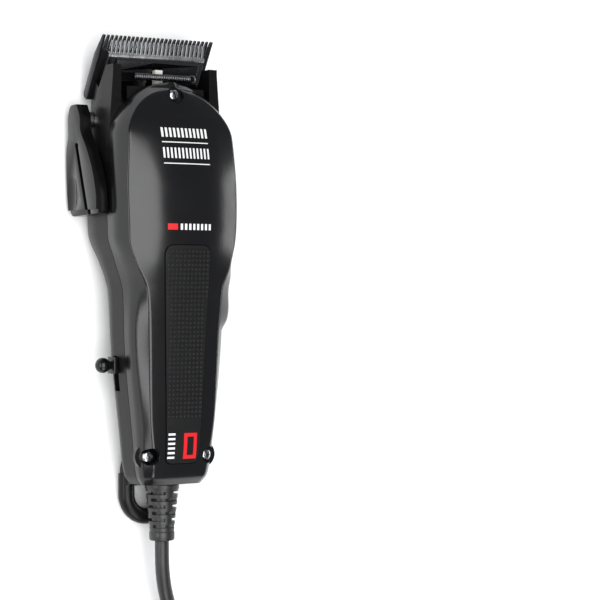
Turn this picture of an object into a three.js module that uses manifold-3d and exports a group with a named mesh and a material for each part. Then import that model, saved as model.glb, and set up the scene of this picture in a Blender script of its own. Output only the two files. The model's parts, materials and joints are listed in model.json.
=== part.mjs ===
// Mains hair clipper with a vibrator motor, lying on its back. Millimetres, +Z up.
// +Y runs to the blades, +X to the clipper's right side, and its front cover faces up.
// Most pieces are drawn in the clipper's own frame, where y = 0 is the tail end of the housing and
// z = 0 is the axis of the cord, and one tilted group then lays them all on the surface.
import * as THREE from 'three';
import { mergeVertices } from 'three/addons/utils/BufferGeometryUtils.js';
import Module from 'manifold-3d';

const wasm = await Module();
wasm.setup();

// ---- Driving dimensions ----

const gap = 0.3;              // between pieces that touch
const eps = 1;                // how far a cutter runs past what it cuts

// Housing, from the tail to the blades
const gripLength = 57;
const neckLength = 33;
const headLength = 36;
const crownLength = 19.8;
const cheekLength = 4;        // how far the rear housing runs past the cover's arc
const baseHalf = 14.9;
const gripHalf = 18.8;
const headHalf = 24.3;
const baseFront = 15.4;
const gripFront = 17.8;
const headFront = 20.6;
const gripBack = 10.5;
const headBack = 19.5;
const seamGrip = 5.5;
const seamHead = 3;
const coverWall = 2.2;
const housingWall = 2.4;
const floorWall = 2.6;

// Blade set
const bladeTilt = 31;         // degrees between the blade plane and the clipper's long axis
const bladeWidth = 46;
const bladeLength = 26;
const bladeThickness = 3.2;
const bladeSeat = 7.6;        // length of the heel that bears on the housing
const toothPitch = 1.72;
const toothLength = 5.6;
const cutterWidth = 40;
const cutterLength = 15;
const cutterThickness = 2.3;
const cutterSetback = 1.4;    // from the fixed teeth's tips to the moving ones
const cutterStroke = 1.4;     // each way from the middle
const guideWidth = 34;
const guideHeight = 2;

// Vibrator motor
const pivotY = 22;
const pivotPin = 4;
const armThickness = 2.2;
const armBottom = -5.2;
const armTop = -1.3;
const coreThickness = 9;
const coreLength = 38;
const armatureThickness = 3.9;
const airGap = 1.6;
const powerScrewRadius = 2;

// Fasteners
const coverScrewHead = 4.4;
const coverScrewShank = 2.6;
const bladeScrewHead = 5.2;
const bladeScrewShank = 3;

// Hang loop, strain relief, cord and plug
const loopWire = 6;
const loopHalf = 11.2;
const loopReach = 16;
const loopZ = -12;
const reliefRoot = 12.5;
const reliefTip = 8.6;
const reliefNeck = 7;
const reliefFlange = 8.2;
const reliefLength = 21;
const cordDiameter = 5.2;
const hankMid = 21.6;           // radius of the hank's folds, at the middle of its turns
const hankRun = 80;           // straight part of its turns
const coilColumns = 3;
const coilLayers = 3;

// ---- Places that follow from them ----

const neckEnd = gripLength + neckLength;
const headEnd = neckEnd + headLength;
const apexY = headEnd + crownLength;
const cheekEnd = apexY + cheekLength;
const tipY = apexY + 16.6;
const tipZ = -2;
const tilt = THREE.MathUtils.degToRad(bladeTilt);
const twoPi = 2 * Math.PI;

// ---- Helpers: solids and booleans ----

function toSolid(geometry) {
  const plain = geometry.clone();
  plain.deleteAttribute('normal');
  plain.deleteAttribute('uv');
  const merged = mergeVertices(plain, 1e-4);
  const index = merged.index.array;
  const kept = [];
  for (let i = 0; i < index.length; i += 3) {
    const [a, b, c] = [index[i], index[i + 1], index[i + 2]];
    if (a !== b && b !== c && c !== a) kept.push(a, b, c);
  }
  return new wasm.Manifold(new wasm.Mesh({
    numProp: 3,
    vertProperties: new Float32Array(merged.attributes.position.array),
    triVerts: new Uint32Array(kept),
  }));
}

function toGeometry(solid) {
  const mesh = solid.getMesh();
  const geometry = new THREE.BufferGeometry();
  geometry.setAttribute('position', new THREE.BufferAttribute(new Float32Array(mesh.vertProperties), 3));
  geometry.setIndex(new THREE.BufferAttribute(new Uint32Array(mesh.triVerts), 1));
  return geometry;
}

// A solid of a geometry after a turn (degrees about x, y, z) and a move
function placed(geometry, move = [0, 0, 0], turn = [0, 0, 0]) {
  const angles = turn.map(THREE.MathUtils.degToRad);
  const matrix = new THREE.Matrix4().makeRotationFromEuler(new THREE.Euler(...angles, 'ZYX'));
  matrix.setPosition(...move);
  return toSolid(geometry.clone().applyMatrix4(matrix));
}

function box(x0, x1, y0, y1, z0, z1) {
  const geometry = new THREE.BoxGeometry(x1 - x0, y1 - y0, z1 - z0);
  return placed(geometry, [(x0 + x1) / 2, (y0 + y1) / 2, (z0 + z1) / 2]);
}

// A rod along +Z from z0 to z1, turned first and then moved
function rod(radius, z0, z1, move = [0, 0, 0], turn = [0, 0, 0], sides = 20) {
  const geometry = new THREE.CylinderGeometry(radius, radius, z1 - z0, sides);
  geometry.rotateX(Math.PI / 2);
  geometry.translate(0, 0, (z0 + z1) / 2);
  return placed(geometry, move, turn);
}

// A turned body from [radius, height] points, its axis along +Z
function turned(profile, sides = 24) {
  const geometry = new THREE.LatheGeometry(profile.map(([r, z]) => new THREE.Vector2(r, z)), sides);
  return geometry.rotateX(Math.PI / 2);
}

// A plan outline in x and y, raised from z0 to z1
function slab(points, z0, z1) {
  const shape = new THREE.Shape(points.map(([x, y]) => new THREE.Vector2(x, y)));
  const geometry = new THREE.ExtrudeGeometry(shape, { depth: z1 - z0, bevelEnabled: false });
  return geometry.translate(0, 0, z0);
}

// A side outline in y and z, run from x0 to x1
function profileSlab(points, x0, x1) {
  const shape = new THREE.Shape(points.map(([y, z]) => new THREE.Vector2(y, z)));
  const geometry = new THREE.ExtrudeGeometry(shape, { depth: x1 - x0, bevelEnabled: false });
  geometry.rotateY(Math.PI / 2);
  geometry.rotateX(Math.PI / 2);
  return geometry.translate(x0, 0, 0);
}

// A closed skin over a row of sections that all have the same number of points
function loft(sections) {
  const count = sections[0].length;
  const positions = sections.flat().flat();
  const triangles = [];
  for (let s = 0; s + 1 < sections.length; s += 1) {
    for (let i = 0; i < count; i += 1) {
      const a = s * count + i;
      const b = s * count + (i + 1) % count;
      triangles.push(a, b + count, b, a, a + count, b + count);
    }
  }
  for (const [row, flip] of [[0, false], [sections.length - 1, true]]) {
    const ring = sections[row].map(([x, , z]) => new THREE.Vector2(x, z));
    for (const [a, b, c] of THREE.ShapeUtils.triangulateShape(ring, [])) {
      const face = flip ? [a, c, b] : [a, b, c];
      triangles.push(...face.map((i) => row * count + i));
    }
  }
  const geometry = new THREE.BufferGeometry();
  geometry.setAttribute('position', new THREE.Float32BufferAttribute(positions, 3));
  geometry.setIndex(triangles);
  return geometry;
}

// A round tube along a smooth curve through the given points
function tube(points, diameter, steps, sides = 10) {
  const curve = new THREE.CatmullRomCurve3(points.map((p) => new THREE.Vector3(...p)), false, 'centripetal');
  const shape = new THREE.Shape();
  for (let i = 0; i < sides; i += 1) {
    const angle = (twoPi * i) / sides;
    const spot = [Math.cos(angle) * diameter / 2, Math.sin(angle) * diameter / 2];
    if (i === 0) shape.moveTo(...spot);
    else shape.lineTo(...spot);
  }
  shape.closePath();
  return new THREE.ExtrudeGeometry(shape, { steps, bevelEnabled: false, extrudePath: curve });
}

// Smooth value between hand-set [place, value] pairs, with no overshoot
function along(pairs, place) {
  const last = pairs.length - 1;
  if (place <= pairs[0][0]) return pairs[0][1];
  if (place >= pairs[last][0]) return pairs[last][1];
  const slopes = [];
  for (let i = 0; i < last; i += 1) {
    slopes.push((pairs[i + 1][1] - pairs[i][1]) / (pairs[i + 1][0] - pairs[i][0]));
  }
  const tangents = pairs.map((pair, i) => {
    if (i === 0) return slopes[0];
    if (i === last) return slopes[last - 1];
    if (slopes[i - 1] * slopes[i] <= 0) return 0;
    return 2 * slopes[i - 1] * slopes[i] / (slopes[i - 1] + slopes[i]);
  });
  const i = pairs.findIndex((pair) => pair[0] > place) - 1;
  const span = pairs[i + 1][0] - pairs[i][0];
  const t = (place - pairs[i][0]) / span;
  const rise = pairs[i + 1][1] - pairs[i][1];
  const bend = (tangents[i] + tangents[i + 1]) * span - 2 * rise;
  const lean = 3 * rise - (2 * tangents[i] + tangents[i + 1]) * span;
  return pairs[i][1] + t * (tangents[i] * span + t * (lean + t * bend));
}

// Round the inner corners of a polyline, each by its own reach, with the same number of points
function softened(points, reaches, steps = 3) {
  const out = [points[0]];
  for (let i = 1; i + 1 < points.length; i += 1) {
    const corner = new THREE.Vector2(...points[i]);
    const before = new THREE.Vector2(...points[i - 1]).sub(corner);
    const after = new THREE.Vector2(...points[i + 1]).sub(corner);
    const reach = Math.min(reaches[i - 1], before.length() * 0.48, after.length() * 0.48);
    if (reach === 0) {
      out.push(points[i]);
      continue;
    }
    const start = corner.clone().add(before.setLength(reach));
    const end = corner.clone().add(after.setLength(reach));
    const curve = new THREE.QuadraticBezierCurve(start, corner, end);
    out.push(...curve.getPoints(steps).map((p) => [p.x, p.y]));
  }
  out.push(points[points.length - 1]);
  return out;
}

// ---- Housing outline: profiles along the clipper ----

// How much of its width the cover keeps towards the crown's arc
function crownArc(y, end = apexY) {
  const t = Math.max(0, (y - headEnd) / (end - headEnd));
  return Math.sqrt(Math.max(0.004, 1 - t ** 1.6));
}

function seamHalf(y) {
  return along([
    [0, baseHalf - 3], [3, baseHalf - 1.2], [9, baseHalf - 0.2], [14, baseHalf + 0.2],
    [gripLength, gripHalf], [gripLength + 0.35 * neckLength, gripHalf + 0.1],
    [gripLength + 0.75 * neckLength, headHalf - 2.4], [neckEnd, headHalf - 0.3],
    [neckEnd + 0.45 * headLength, headHalf], [headEnd, headHalf - 0.6],
  ], y) * crownArc(y);
}

function seamZ(y) {
  return along([[0, seamGrip], [gripLength, seamGrip], [neckEnd, seamHead]], y);
}

function crownZ(y) {
  return along([
    [0, baseFront - 5.9], [3.5, baseFront - 2.2], [8.5, baseFront - 0.9], [14, baseFront],
    [gripLength, gripFront], [gripLength + 0.8 * neckLength, headFront - 1.1], [neckEnd + 3, headFront],
    [neckEnd + 0.45 * headLength, headFront - 0.4], [headEnd - 3, headFront - 3.2],
    [headEnd + 0.25 * crownLength, headFront - 5.6], [headEnd + 0.5 * crownLength, headFront - 7.8],
    [headEnd + 0.75 * crownLength, headFront - 10], [apexY, headFront - 12.6],
  ], y);
}

// The crisp line between the front face and the side facet
function ridgeHalf(y) {
  return along([
    [0, baseHalf - 5.1], [3.5, baseHalf - 4.1], [10, baseHalf - 3.5], [25, baseHalf - 1.7],
    [gripLength, gripHalf - 4.5], [gripLength + 0.4 * neckLength, gripHalf - 3.4],
    [gripLength + 0.68 * neckLength, headHalf - 4.9], [neckEnd - 1, headHalf - 2.2],
    [neckEnd + 0.45 * headLength, headHalf - 1.7], [headEnd, headHalf - 3],
  ], y) * crownArc(y, apexY - 2.4);
}

function ridgeZ(y) {
  const drop = along([
    [0, 0.5], [gripLength, 1], [gripLength + 0.5 * neckLength, 1.6], [neckEnd, 4.6],
    [neckEnd + 0.45 * headLength, 4.6], [headEnd, 2.2], [apexY, 0.6],
  ], y);
  return crownZ(y) - drop;
}

// The side wall between the seam and the ridge
function flankHalf(y) {
  return seamHalf(y) + along([
    [0, 0.2], [14, 0.1], [gripLength, 0.2], [gripLength + 0.5 * neckLength, -0.6], [neckEnd, 0.5],
    [headEnd, 0.2], [apexY, 0],
  ], y);
}

// On the right the flank swells out below the head, where the fingers lie
function flankSwell(y) {
  return along([
    [gripLength - 1, 0], [gripLength + 0.5, 1.2], [gripLength + 3, 2.9], [gripLength + 8, 3.8],
    [gripLength + 0.5 * neckLength, 3.9], [gripLength + 0.75 * neckLength, 1.4], [neckEnd, 0],
  ], y);
}

function flankZ(y) {
  return seamZ(y) + 0.55 * (ridgeZ(y) - seamZ(y));
}

function backZ(y) {
  return -along([
    [0, gripBack - 4.9], [4, gripBack - 3.4], [18, gripBack - 2.1], [gripLength - 8, gripBack - 0.8],
    [gripLength + 3, gripBack], [gripLength + 0.42 * neckLength, gripBack + 1.4],
    [gripLength + 0.65 * neckLength, gripBack + 3.2], [gripLength + 0.88 * neckLength, headBack - 2.2],
    [neckEnd + 1.5, headBack - 0.2], [neckEnd + 5, headBack],
  ], y);
}

// The rear housing keeps the head's width right up to the blades
function housingHalf(y) {
  return y < headEnd - 8 ? seamHalf(y) : along([[headEnd - 8, seamHalf(headEnd - 8)], [cheekEnd, headHalf - 2.6]], y);
}

// Half-sections run from the middle of the bottom round the right side to the middle of the top
function closedSection(y, right, left = right) {
  const back = left.slice(1, -1).reverse().map(([x, z]) => [-x, y, z]);
  return [...right.map(([x, z]) => [x, y, z]), ...back];
}

function coverSection(y, inset) {
  const side = seamHalf(y) - inset;
  const foot = inset > 0 ? seamZ(y) - 4 : seamZ(y) + gap / 2;
  const half = (swell) => softened([
    [0, foot], [Math.max(side, 0.6), foot], [Math.max(flankHalf(y) + swell - inset, 0.55), flankZ(y)],
    [Math.max(ridgeHalf(y) - inset * 0.7, 0.4), ridgeZ(y) - inset],
    [Math.max(ridgeHalf(y) - inset, 0.3) * 0.5, crownZ(y) - inset - 0.15 * (crownZ(y) - ridgeZ(y))],
    [0, crownZ(y) - inset],
  ], [0, 3.2, 0.7, 5], 2);
  return closedSection(y, half(flankSwell(y)), half(0));
}

function housingSection(y, inset) {
  const side = housingHalf(y) - inset;
  const top = inset > 0 ? seamZ(y) + 3 : seamZ(y) - gap / 2;
  const deep = backZ(y) + inset * floorWall / housingWall;
  const corners = [
    [0, deep], [side * 0.55, deep], [side * 0.9, deep + 1.2], [side + 0.3, deep * 0.42], [side, top], [0, top],
  ];
  return closedSection(y, softened(corners, [5, 5, 4, 0], 2));
}

function stations(from, to, step) {
  const count = Math.ceil((to - from) / step);
  return Array.from({ length: count + 1 }, (_, i) => from + (to - from) * i / count);
}

const crownStations = [0.12, 0.26, 0.4, 0.54, 0.66, 0.77, 0.86, 0.93, 0.975, 1].map((t) => headEnd + t * crownLength);
const coverStations = [
  0, 1.2, 3, 5.5, 9, ...stations(14, gripLength - 1, 10.5), gripLength + 0.5, gripLength + 3,
  ...stations(gripLength + 7, headEnd, 6.6), ...crownStations,
];
const housingStations = [
  0, 1.2, 3, 6, ...stations(11, gripLength - 1, 11.5), ...stations(gripLength + 4, cheekEnd + 2, 6.5),
];

function coverBody(inset, from = -eps) {
  const rows = coverStations.filter((y) => y > from);
  return toSolid(loft(rows.map((y) => coverSection(y, inset))));
}

// Blade frame: x as before, y along the blade plane with 0 at the fixed teeth's tips, z up to the front
function inBladeFrame(solid) {
  return solid.rotate([bladeTilt, 0, 0]).translate([0, tipY, tipZ]);
}

// ---- Front cover ----

const topScrewY = apexY - 4.9;
const topScrewFloor = crownZ(topScrewY) - 3.1;
const baseScrewX = baseHalf - 2.9;
const baseScrewY = 10.6;
const baseScrewFloor = baseFront - 5.6;
const insertStart = 8;
const insertEnd = gripLength + 0.89 * neckLength;
const insertTopHalf = 9.4;
const insertBaseHalf = 6.6;
const insertDepth = 1.1;
const insertProud = 0.35;

function insertOutline(grow) {
  const top = insertEnd + grow;
  const foot = insertStart - grow;
  const corners = [
    [0, foot], [insertBaseHalf + grow, foot], [insertTopHalf + grow, top], [0, top],
  ];
  const half = softened(corners, [2.6, 4], 4);
  const left = half.slice(1, -1).reverse().map(([x, y]) => [-x, y]);
  return [...half, ...left];
}

const coverScrewSpots = [
  { name: 'cover_screw_top', x: 0, y: topScrewY, floor: topScrewFloor },
  { name: 'cover_screw_left', x: -baseScrewX, y: baseScrewY, floor: baseScrewFloor },
  { name: 'cover_screw_right', x: baseScrewX, y: baseScrewY, floor: baseScrewFloor },
];

function makeFrontCover() {
  const inner = coverBody(coverWall, 3).intersect(box(-60, 60, 3, topScrewY - 6, -20, 60));
  let cover = coverBody(0).subtract(inner);
  const pocket = toSolid(slab(insertOutline(gap), 0, 60));
  cover = cover.subtract(pocket.subtract(coverBody(insertDepth)));
  for (const { x, y, floor } of coverScrewSpots) {
    const seat = floor - 1.6;
    cover = cover.add(rod(4.6, Math.max(seat, seamZ(y) + gap), floor, [x, y, 0]).intersect(coverBody(0)));
    cover = cover.subtract(rod(coverScrewHead / 2 + 0.9, floor, 40, [x, y, 0]));
    cover = cover.subtract(rod(coverScrewShank / 2 + gap, -20, 40, [x, y, 0]));
  }
  return cover;
}

function makeGripInsert() {
  const layer = coverBody(-insertProud).subtract(coverBody(insertDepth - gap));
  return layer.intersect(toSolid(slab(insertOutline(0), 8, 60)));
}

// ---- Rear housing ----

const cavityStart = 4;
const cavityEnd = topScrewY - 7;
const tunnelHalf = 9;
const tunnelTop = -0.6;
const switchY = gripLength - 13.8;
const switchZ = -2;
const switchTravel = 6;
const switchFace = -gripHalf + 5.6;
const slotHalf = 1.9;
const knobHalf = 3.1;
const springY = gripLength - 5.5;
const springZ = (armBottom + armTop) / 2;
const springRadius = 2.4;
const coreStart = gripLength + 5;
const coreFace = armThickness / 2 - 1 - airGap;
const coreBack = -gripHalf + 5.8;
const coreBottom = -5;
const legWidth = 5;
const bladeScrewSpots = [-14, 14];
const bladeScrewBack = 21.5;
const bladeScrewDepth = 5;
const shaftY = headEnd + 6.5;
const shaftZ = -12.3;
const shaftRadius = 2.8;
const slideHalf = 8;
const slideBase = 3.7;
const slideThickness = 1.4;
const postRadius = 2.9;
const leftSpringEnd = -11.4;
const coreScrewX = coreBack + 5.2;
const coreScrewSpots = [coreStart + legWidth / 2, coreStart + coreLength - legWidth / 2];
const clampY = 14;
const clampBottom = 2.9;
const clampScrewSpots = [-6.2, 6.2];
const clampScrewShank = 2;

function makeRearHousing() {
  let housing = toSolid(loft(housingStations.map((y) => housingSection(y, 0))));
  const cavity = toSolid(loft(housingStations.map((y) => housingSection(y, housingWall))));
  housing = housing.subtract(cavity.intersect(box(-60, 60, cavityStart, cavityEnd, -60, 60)));

  // Posts for the cover's base screws
  for (const { x, y, floor } of coverScrewSpots.slice(1)) {
    const post = rod(postRadius, -gripBack + 4, Math.min(floor - 1.6, seamZ(y)) - gap, [x, y, 0]);
    housing = housing.add(post.intersect(toSolid(loft(housingStations.map((at) => housingSection(at, 1))))));
  }
  for (const { x, y } of coverScrewSpots) {
    housing = housing.subtract(rod(coverScrewShank / 2 + gap, -2.5, 40, [x, y, 0]));
  }

  // Rib behind the arm's left spring, and posts under the core
  const room = toSolid(loft(housingStations.map((at) => housingSection(at, 1))));
  const rib = box(-30, leftSpringEnd - gap, springY - 2.8, springY + 2.8, -30, 0);
  housing = housing.add(rib.intersect(room));
  for (const y of coreScrewSpots) {
    const post = rod(postRadius, -30, coreBottom - gap, [coreScrewX, y, 0]).intersect(room);
    housing = housing.add(post).subtract(rod(coverScrewShank / 2 + gap, coreBottom - 5, 0, [coreScrewX, y, 0]));
  }
  for (const x of clampScrewSpots) {
    const post = rod(2.3, -30, clampBottom - gap, [x, clampY, 0]).intersect(room);
    housing = housing.add(post).subtract(rod(clampScrewShank / 2 + gap, clampBottom - 5, 9, [x, clampY, 0]));
  }

  // The blade seat, the recess for the blade set and the tunnel for the motor's arm
  const seatCut = box(-60, 60, -60, 40, -60, gap / 2);
  const bladeRoom = box(-60, 60, -bladeLength + bladeSeat, 40, -60, 5);
  const setRoom = box(-cutterWidth / 2 + 1.6, cutterWidth / 2 - 1.6, -bladeLength + bladeSeat, 40, -60, 60);
  const slideRoom = box(-slideHalf - gap, slideHalf + gap, -bladeLength - 8, 0, slideBase - gap, 12);
  for (const cut of [seatCut, bladeRoom, setRoom, slideRoom]) {
    housing = housing.subtract(inBladeFrame(cut).intersect(box(-60, 60, headEnd, 200, -60, 60)));
  }
  housing = housing.add(box(-16, 16, topScrewY - 6, topScrewY + 3.2, tunnelTop, seamHead - gap / 2));
  housing = housing.subtract(rod(coverScrewShank / 2 + gap, tunnelTop - eps, 40, [0, topScrewY, 0]));
  housing = housing.subtract(box(-tunnelHalf, tunnelHalf, cavityEnd - eps, 200, -12, tunnelTop));

  // Bores: the taper lever's shaft, the blade screws, the switch slot, the power screw and the cord
  housing = housing.subtract(rod(shaftRadius + gap, -60, 0, [0, shaftY, shaftZ], [0, 90, 0]));
  for (const x of bladeScrewSpots) {
    const bore = rod(bladeScrewShank / 2 + gap, -10, bladeScrewDepth + gap, [x, -bladeScrewBack, 0]);
    housing = housing.subtract(inBladeFrame(bore));
  }
  const slotEnds = [switchY - switchTravel - knobHalf - gap, switchY + knobHalf + gap];
  housing = housing.subtract(box(-60, switchFace, ...slotEnds, switchZ - slotHalf, switchZ + slotHalf));
  housing = housing.subtract(rod(powerScrewRadius + gap, 0, 60, [0, springY, springZ], [0, 90, 0]));
  housing = housing.subtract(rod(reliefNeck / 2 + gap, -10, cavityStart + eps, [0, 0, 0], [-90, 0, 0]));
  housing = housing.subtract(rod(pivotPin / 2 + gap, backZ(pivotY) + 0.9, 0, [0, pivotY, 0]));
  return cutRestFace(housing);
}

// ---- How the clipper lies: on a flat of its head and on its hang loop ----

const restY = neckEnd + 14;
const restCut = 0.5;
const restZ = -headBack + restCut;
const loopLow = [-loopReach + loopWire / 2, loopZ - loopWire / 2];
const lean = Math.atan2(loopLow[1] - restZ, restY - loopLow[0]);

function cutRestFace(solid) {
  const below = box(-80, 80, -300, 300, -60, 0);
  return solid.subtract(below.rotate([-THREE.MathUtils.radToDeg(lean), 0, 0]).translate([0, restY, restZ]));
}

// ---- Screws ----

// A cross-slotted pan head at z = 0 with its shank down to -length
function screwSolid(headDiameter, headHeight, shankDiameter, length) {
  const [head, shank] = [headDiameter / 2, shankDiameter / 2];
  const body = toSolid(turned([
    [0, -length], [shank * 0.5, -length], [shank, -length + 0.8], [shank, 0], [head, 0],
    [head, headHeight * 0.45], [head * 0.72, headHeight * 0.9], [0, headHeight],
  ], 12));
  const slot = head * 0.55;
  const cross = box(-slot, slot, -0.35, 0.35, headHeight * 0.45, 9).add(box(-0.35, 0.35, -slot, slot, headHeight * 0.45, 9));
  return body.subtract(cross);
}

function makeCoverScrew({ floor, x }) {
  const length = x === 0 ? floor - tunnelTop - 0.4 : floor + 2;
  return screwSolid(coverScrewHead, 1.7, coverScrewShank, length).translate([0, 0, gap]);
}

// ---- Hang loop ----

function makeHangLoop() {
  const bend = loopHalf - loopWire / 2;
  const centre = loopLow[0] + bend;
  const points = [[-bend, 3, loopZ], [-bend, centre, loopZ]];
  for (let i = 1; i < 8; i += 1) {
    const angle = Math.PI * (1 + i / 8);
    points.push([Math.cos(angle) * bend, centre + Math.sin(angle) * bend, loopZ]);
  }
  points.push([bend, centre, loopZ], [bend, 3, loopZ]);
  const wire = toSolid(tube(points, loopWire, 22, 12));
  const roof = [16, 8, 4].map((y) => [y, backZ(y) - gap]);
  roof.push([-1.2, -reliefRoot / 2 - 2 * gap]);
  const root = profileSlab([...roof, [-1.2, loopZ - 2.2], [5, loopZ - 2.2]], -loopHalf + 1.5, loopHalf - 1.5);
  const clearOfHousing = toSolid(loft(housingStations.map((y) => housingSection(y, -gap))));
  return wire.add(toSolid(root)).subtract(clearOfHousing);
}

// ---- Blade set, in the blade frame ----

function toothGaps(width, back, front) {
  const count = 2 * Math.floor((width / toothPitch - 1) / 2) + 1;
  const cuts = [];
  for (let i = 0; i <= count; i += 1) {
    const x = (i - count / 2) * toothPitch;
    cuts.push(box(x - 0.42, x + 0.42, back, front, -20, 20));
  }
  return wasm.Manifold.union(cuts);
}

function makeFixedBlade() {
  const [top, low] = [-gap / 2, -bladeThickness];
  let blade = toSolid(profileSlab([
    [-bladeLength, top], [0, top], [0, -0.9], [-9, low], [-bladeLength + 1.2, low], [-bladeLength, low + 0.8],
  ], -bladeWidth / 2, bladeWidth / 2));
  blade = blade.subtract(toothGaps(bladeWidth, -toothLength, eps));
  for (const x of bladeScrewSpots) {
    blade = blade.subtract(rod(bladeScrewShank / 2 + gap, -9, 9, [x, -bladeScrewBack, 0]));
    blade = blade.subtract(rod(bladeScrewHead / 2 + gap, -9, low + 1.6, [x, -bladeScrewBack, 0]));
  }
  return inBladeFrame(blade);
}

function makeBladeScrew(x) {
  const length = bladeScrewDepth + bladeThickness - 1.6 - gap;
  const screw = screwSolid(bladeScrewHead, 1.3, bladeScrewShank, length).rotate([180, 0, 0]);
  return inBladeFrame(screw.translate([x, -bladeScrewBack, -bladeThickness + 1.6 - gap]));
}

function makeCutterBlade() {
  const [back, front] = [-cutterSetback - cutterLength, -cutterSetback];
  const top = gap / 2 + cutterThickness;
  const blade = toSolid(profileSlab([
    [back, gap / 2], [front, gap / 2], [front, gap / 2 + 0.6], [front - 5.8, top], [back, top],
  ], -cutterWidth / 2, cutterWidth / 2));
  return inBladeFrame(blade.subtract(toothGaps(cutterWidth, front - 4.6, eps)));
}

const guideBack = -12.7;
const guideFront = -7;
const guideBottom = gap / 2 + cutterThickness + gap;
const fingerHalf = 1.5;

function makeCutterGuide() {
  const top = guideBottom + guideHeight;
  const bar = toSolid(profileSlab(softened([
    [guideBack, guideBottom], [guideFront, guideBottom], [guideFront - 0.6, top], [guideBack + 0.8, top],
    [guideBack, guideBottom],
  ], [0.6, 0.9, 0.9], 2).slice(0, -1), -guideWidth / 2, guideWidth / 2));
  return inBladeFrame(bar.subtract(box(-fingerHalf - 0.7, fingerHalf + 0.7, guideBack - eps, guideFront - 1, -9, 20)));
}

// A closely wound spring drawn as a row of rounded turns, along +Z from 0
function beadedSpring(radius, length, turns, sides = 10) {
  const pitch = length / turns;
  const profile = [[0, 0], [radius * 0.8, 0]];
  for (let i = 0; i < turns; i += 1) {
    profile.push([radius, (i + 0.5) * pitch]);
    profile.push([radius * 0.8, (i + 1) * pitch]);
  }
  profile.push([0, length]);
  return turned(profile, sides);
}

function makeCutterSpring() {
  const length = 0.69 * guideWidth;
  return placed(beadedSpring(1.6, length, 18, 8), [-length / 2, apexY + 2.2, 0.7], [0, 90, 0]);
}

// ---- Taper control: lever, eccentric shaft and slide ----

const leverInner = -headHalf - 1.1;
const leverGroove = 1.6;
const leverThickness = 4.6;
const crankRadius = 1.12;
const crankPin = 0.9;
const crankAngle = THREE.MathUtils.degToRad(32.5);

// The shaft's axis and its crank pin in the blade frame
const shaftBlade = (() => {
  const [dy, dz] = [shaftY - tipY, shaftZ - tipZ];
  return [dy * Math.cos(tilt) + dz * Math.sin(tilt), -dy * Math.sin(tilt) + dz * Math.cos(tilt)];
})();
const pinBlade = [
  shaftBlade[0] + crankRadius * Math.sin(crankAngle),
  shaftBlade[1] - crankRadius * Math.cos(crankAngle),
];

function makeTaperLever() {
  const [y, z] = [shaftY, shaftZ];
  const outline = [
    [y + 5.2, z + 2.4], [y + 1, z + 5.1], [y - 4.5, z + 5.2], [y - 10.5, z + 10], [y - 19, z + 15],
    [y - 28, z + 17.8], [y - 34.6, z + 17.6], [y - 35.4, z - 2], [y - 34, z - 4], [y - 20, z - 5.6],
    [y - 10.5, z - 5.4], [y - 6.5, z - 3.8], [y + 1, z - 4.3], [y + 5, z - 2.4],
  ];
  const outer = leverInner - leverThickness;
  const groove = [[y - 9, z + 1.4], [y - 9, z + 3.4], [y - 36, z + 12.4], [y - 36, z + 10.2]];
  return toSolid(profileSlab(outline, outer, leverInner))
    .subtract(toSolid(profileSlab(groove, outer - 1, outer + leverGroove)))
    .subtract(rod(1.2, outer - 1, leverInner + 1, [0, y - 10, z + 2.8], [0, 90, 0], 12));
}

function makeTaperShaft() {
  const axis = [0, shaftY, shaftZ];
  const shaft = rod(shaftRadius, leverInner + gap, -slideHalf - gap, axis, [0, 90, 0], 16);
  const pin = rod(crankPin, -slideHalf - 2 * gap, -slideHalf + 1.6, [0, 0, 0], [0, 90, 0], 10);
  return shaft.add(inBladeFrame(pin.translate([0, ...pinBlade])));
}

function makeTaperSlide() {
  const [back, front] = [shaftBlade[0] - 2.6, guideBack - gap];
  const top = slideBase + slideThickness;
  let slide = box(-slideHalf, slideHalf, back, front, slideBase, top);
  slide = slide.add(box(-slideHalf, -slideHalf + 1.6, back, shaftBlade[0] + 3.2, slideBase, shaftBlade[1] + 2.2));
  const slot = [pinBlade[0] - crankPin - gap, pinBlade[0] + crankPin + gap];
  const reach = crankPin + gap;
  const middle = shaftBlade[1] - crankRadius;
  slide = slide.subtract(box(-slideHalf - eps, -slideHalf + 1.6 + eps, ...slot, middle - reach, middle + 0.4 + reach));
  const fingerRoom = fingerHalf + cutterStroke + 0.8;
  return inBladeFrame(slide.subtract(box(-fingerRoom, fingerRoom, front - 8.4, front + eps, -9, 20)));
}

// ---- Vibrator motor ----

const armY = apexY - 7.8;     // where the arm ends and its finger starts
const plateX = coreFace + airGap + armatureThickness + gap + armThickness / 2;

function makeDriveArm() {
  const half = armThickness / 2;
  const path = [
    [0, pivotY], [0, springY + 2.6], [plateX, coreStart - 2.4],
    [plateX, coreStart + coreLength + 1], [0, coreStart + coreLength + 12], [0, armY],
  ];
  const right = path.map(([x, y]) => [x + half, y]);
  const left = path.map(([x, y]) => [x - half, y]).reverse();
  const plate = toSolid(slab([...right, ...left], armBottom, armTop));
  const eye = rod(pivotPin / 2 + 2.2, armBottom, armTop, [0, pivotY, 0]);
  return plate.add(eye).subtract(rod(pivotPin / 2 + gap, -20, 20, [0, pivotY, 0]));
}

function makeArmature() {
  const x = coreFace + airGap;
  return box(x, x + armatureThickness, coreStart, coreStart + coreLength, coreBottom, coreBottom + coreThickness);
}

function makeDriveFinger() {
  return box(-fingerHalf, fingerHalf, armY + gap, apexY + 5.2, armBottom + 0.6, armTop - 0.9);
}

function makePivotPin() {
  return rod(pivotPin / 2, backZ(pivotY) + 0.9 + gap, 2, [0, pivotY, 0]);
}

const middleLeg = 10;
const middleY = coreStart + coreLength / 2;
const coreTop = coreBottom + coreThickness;

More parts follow.
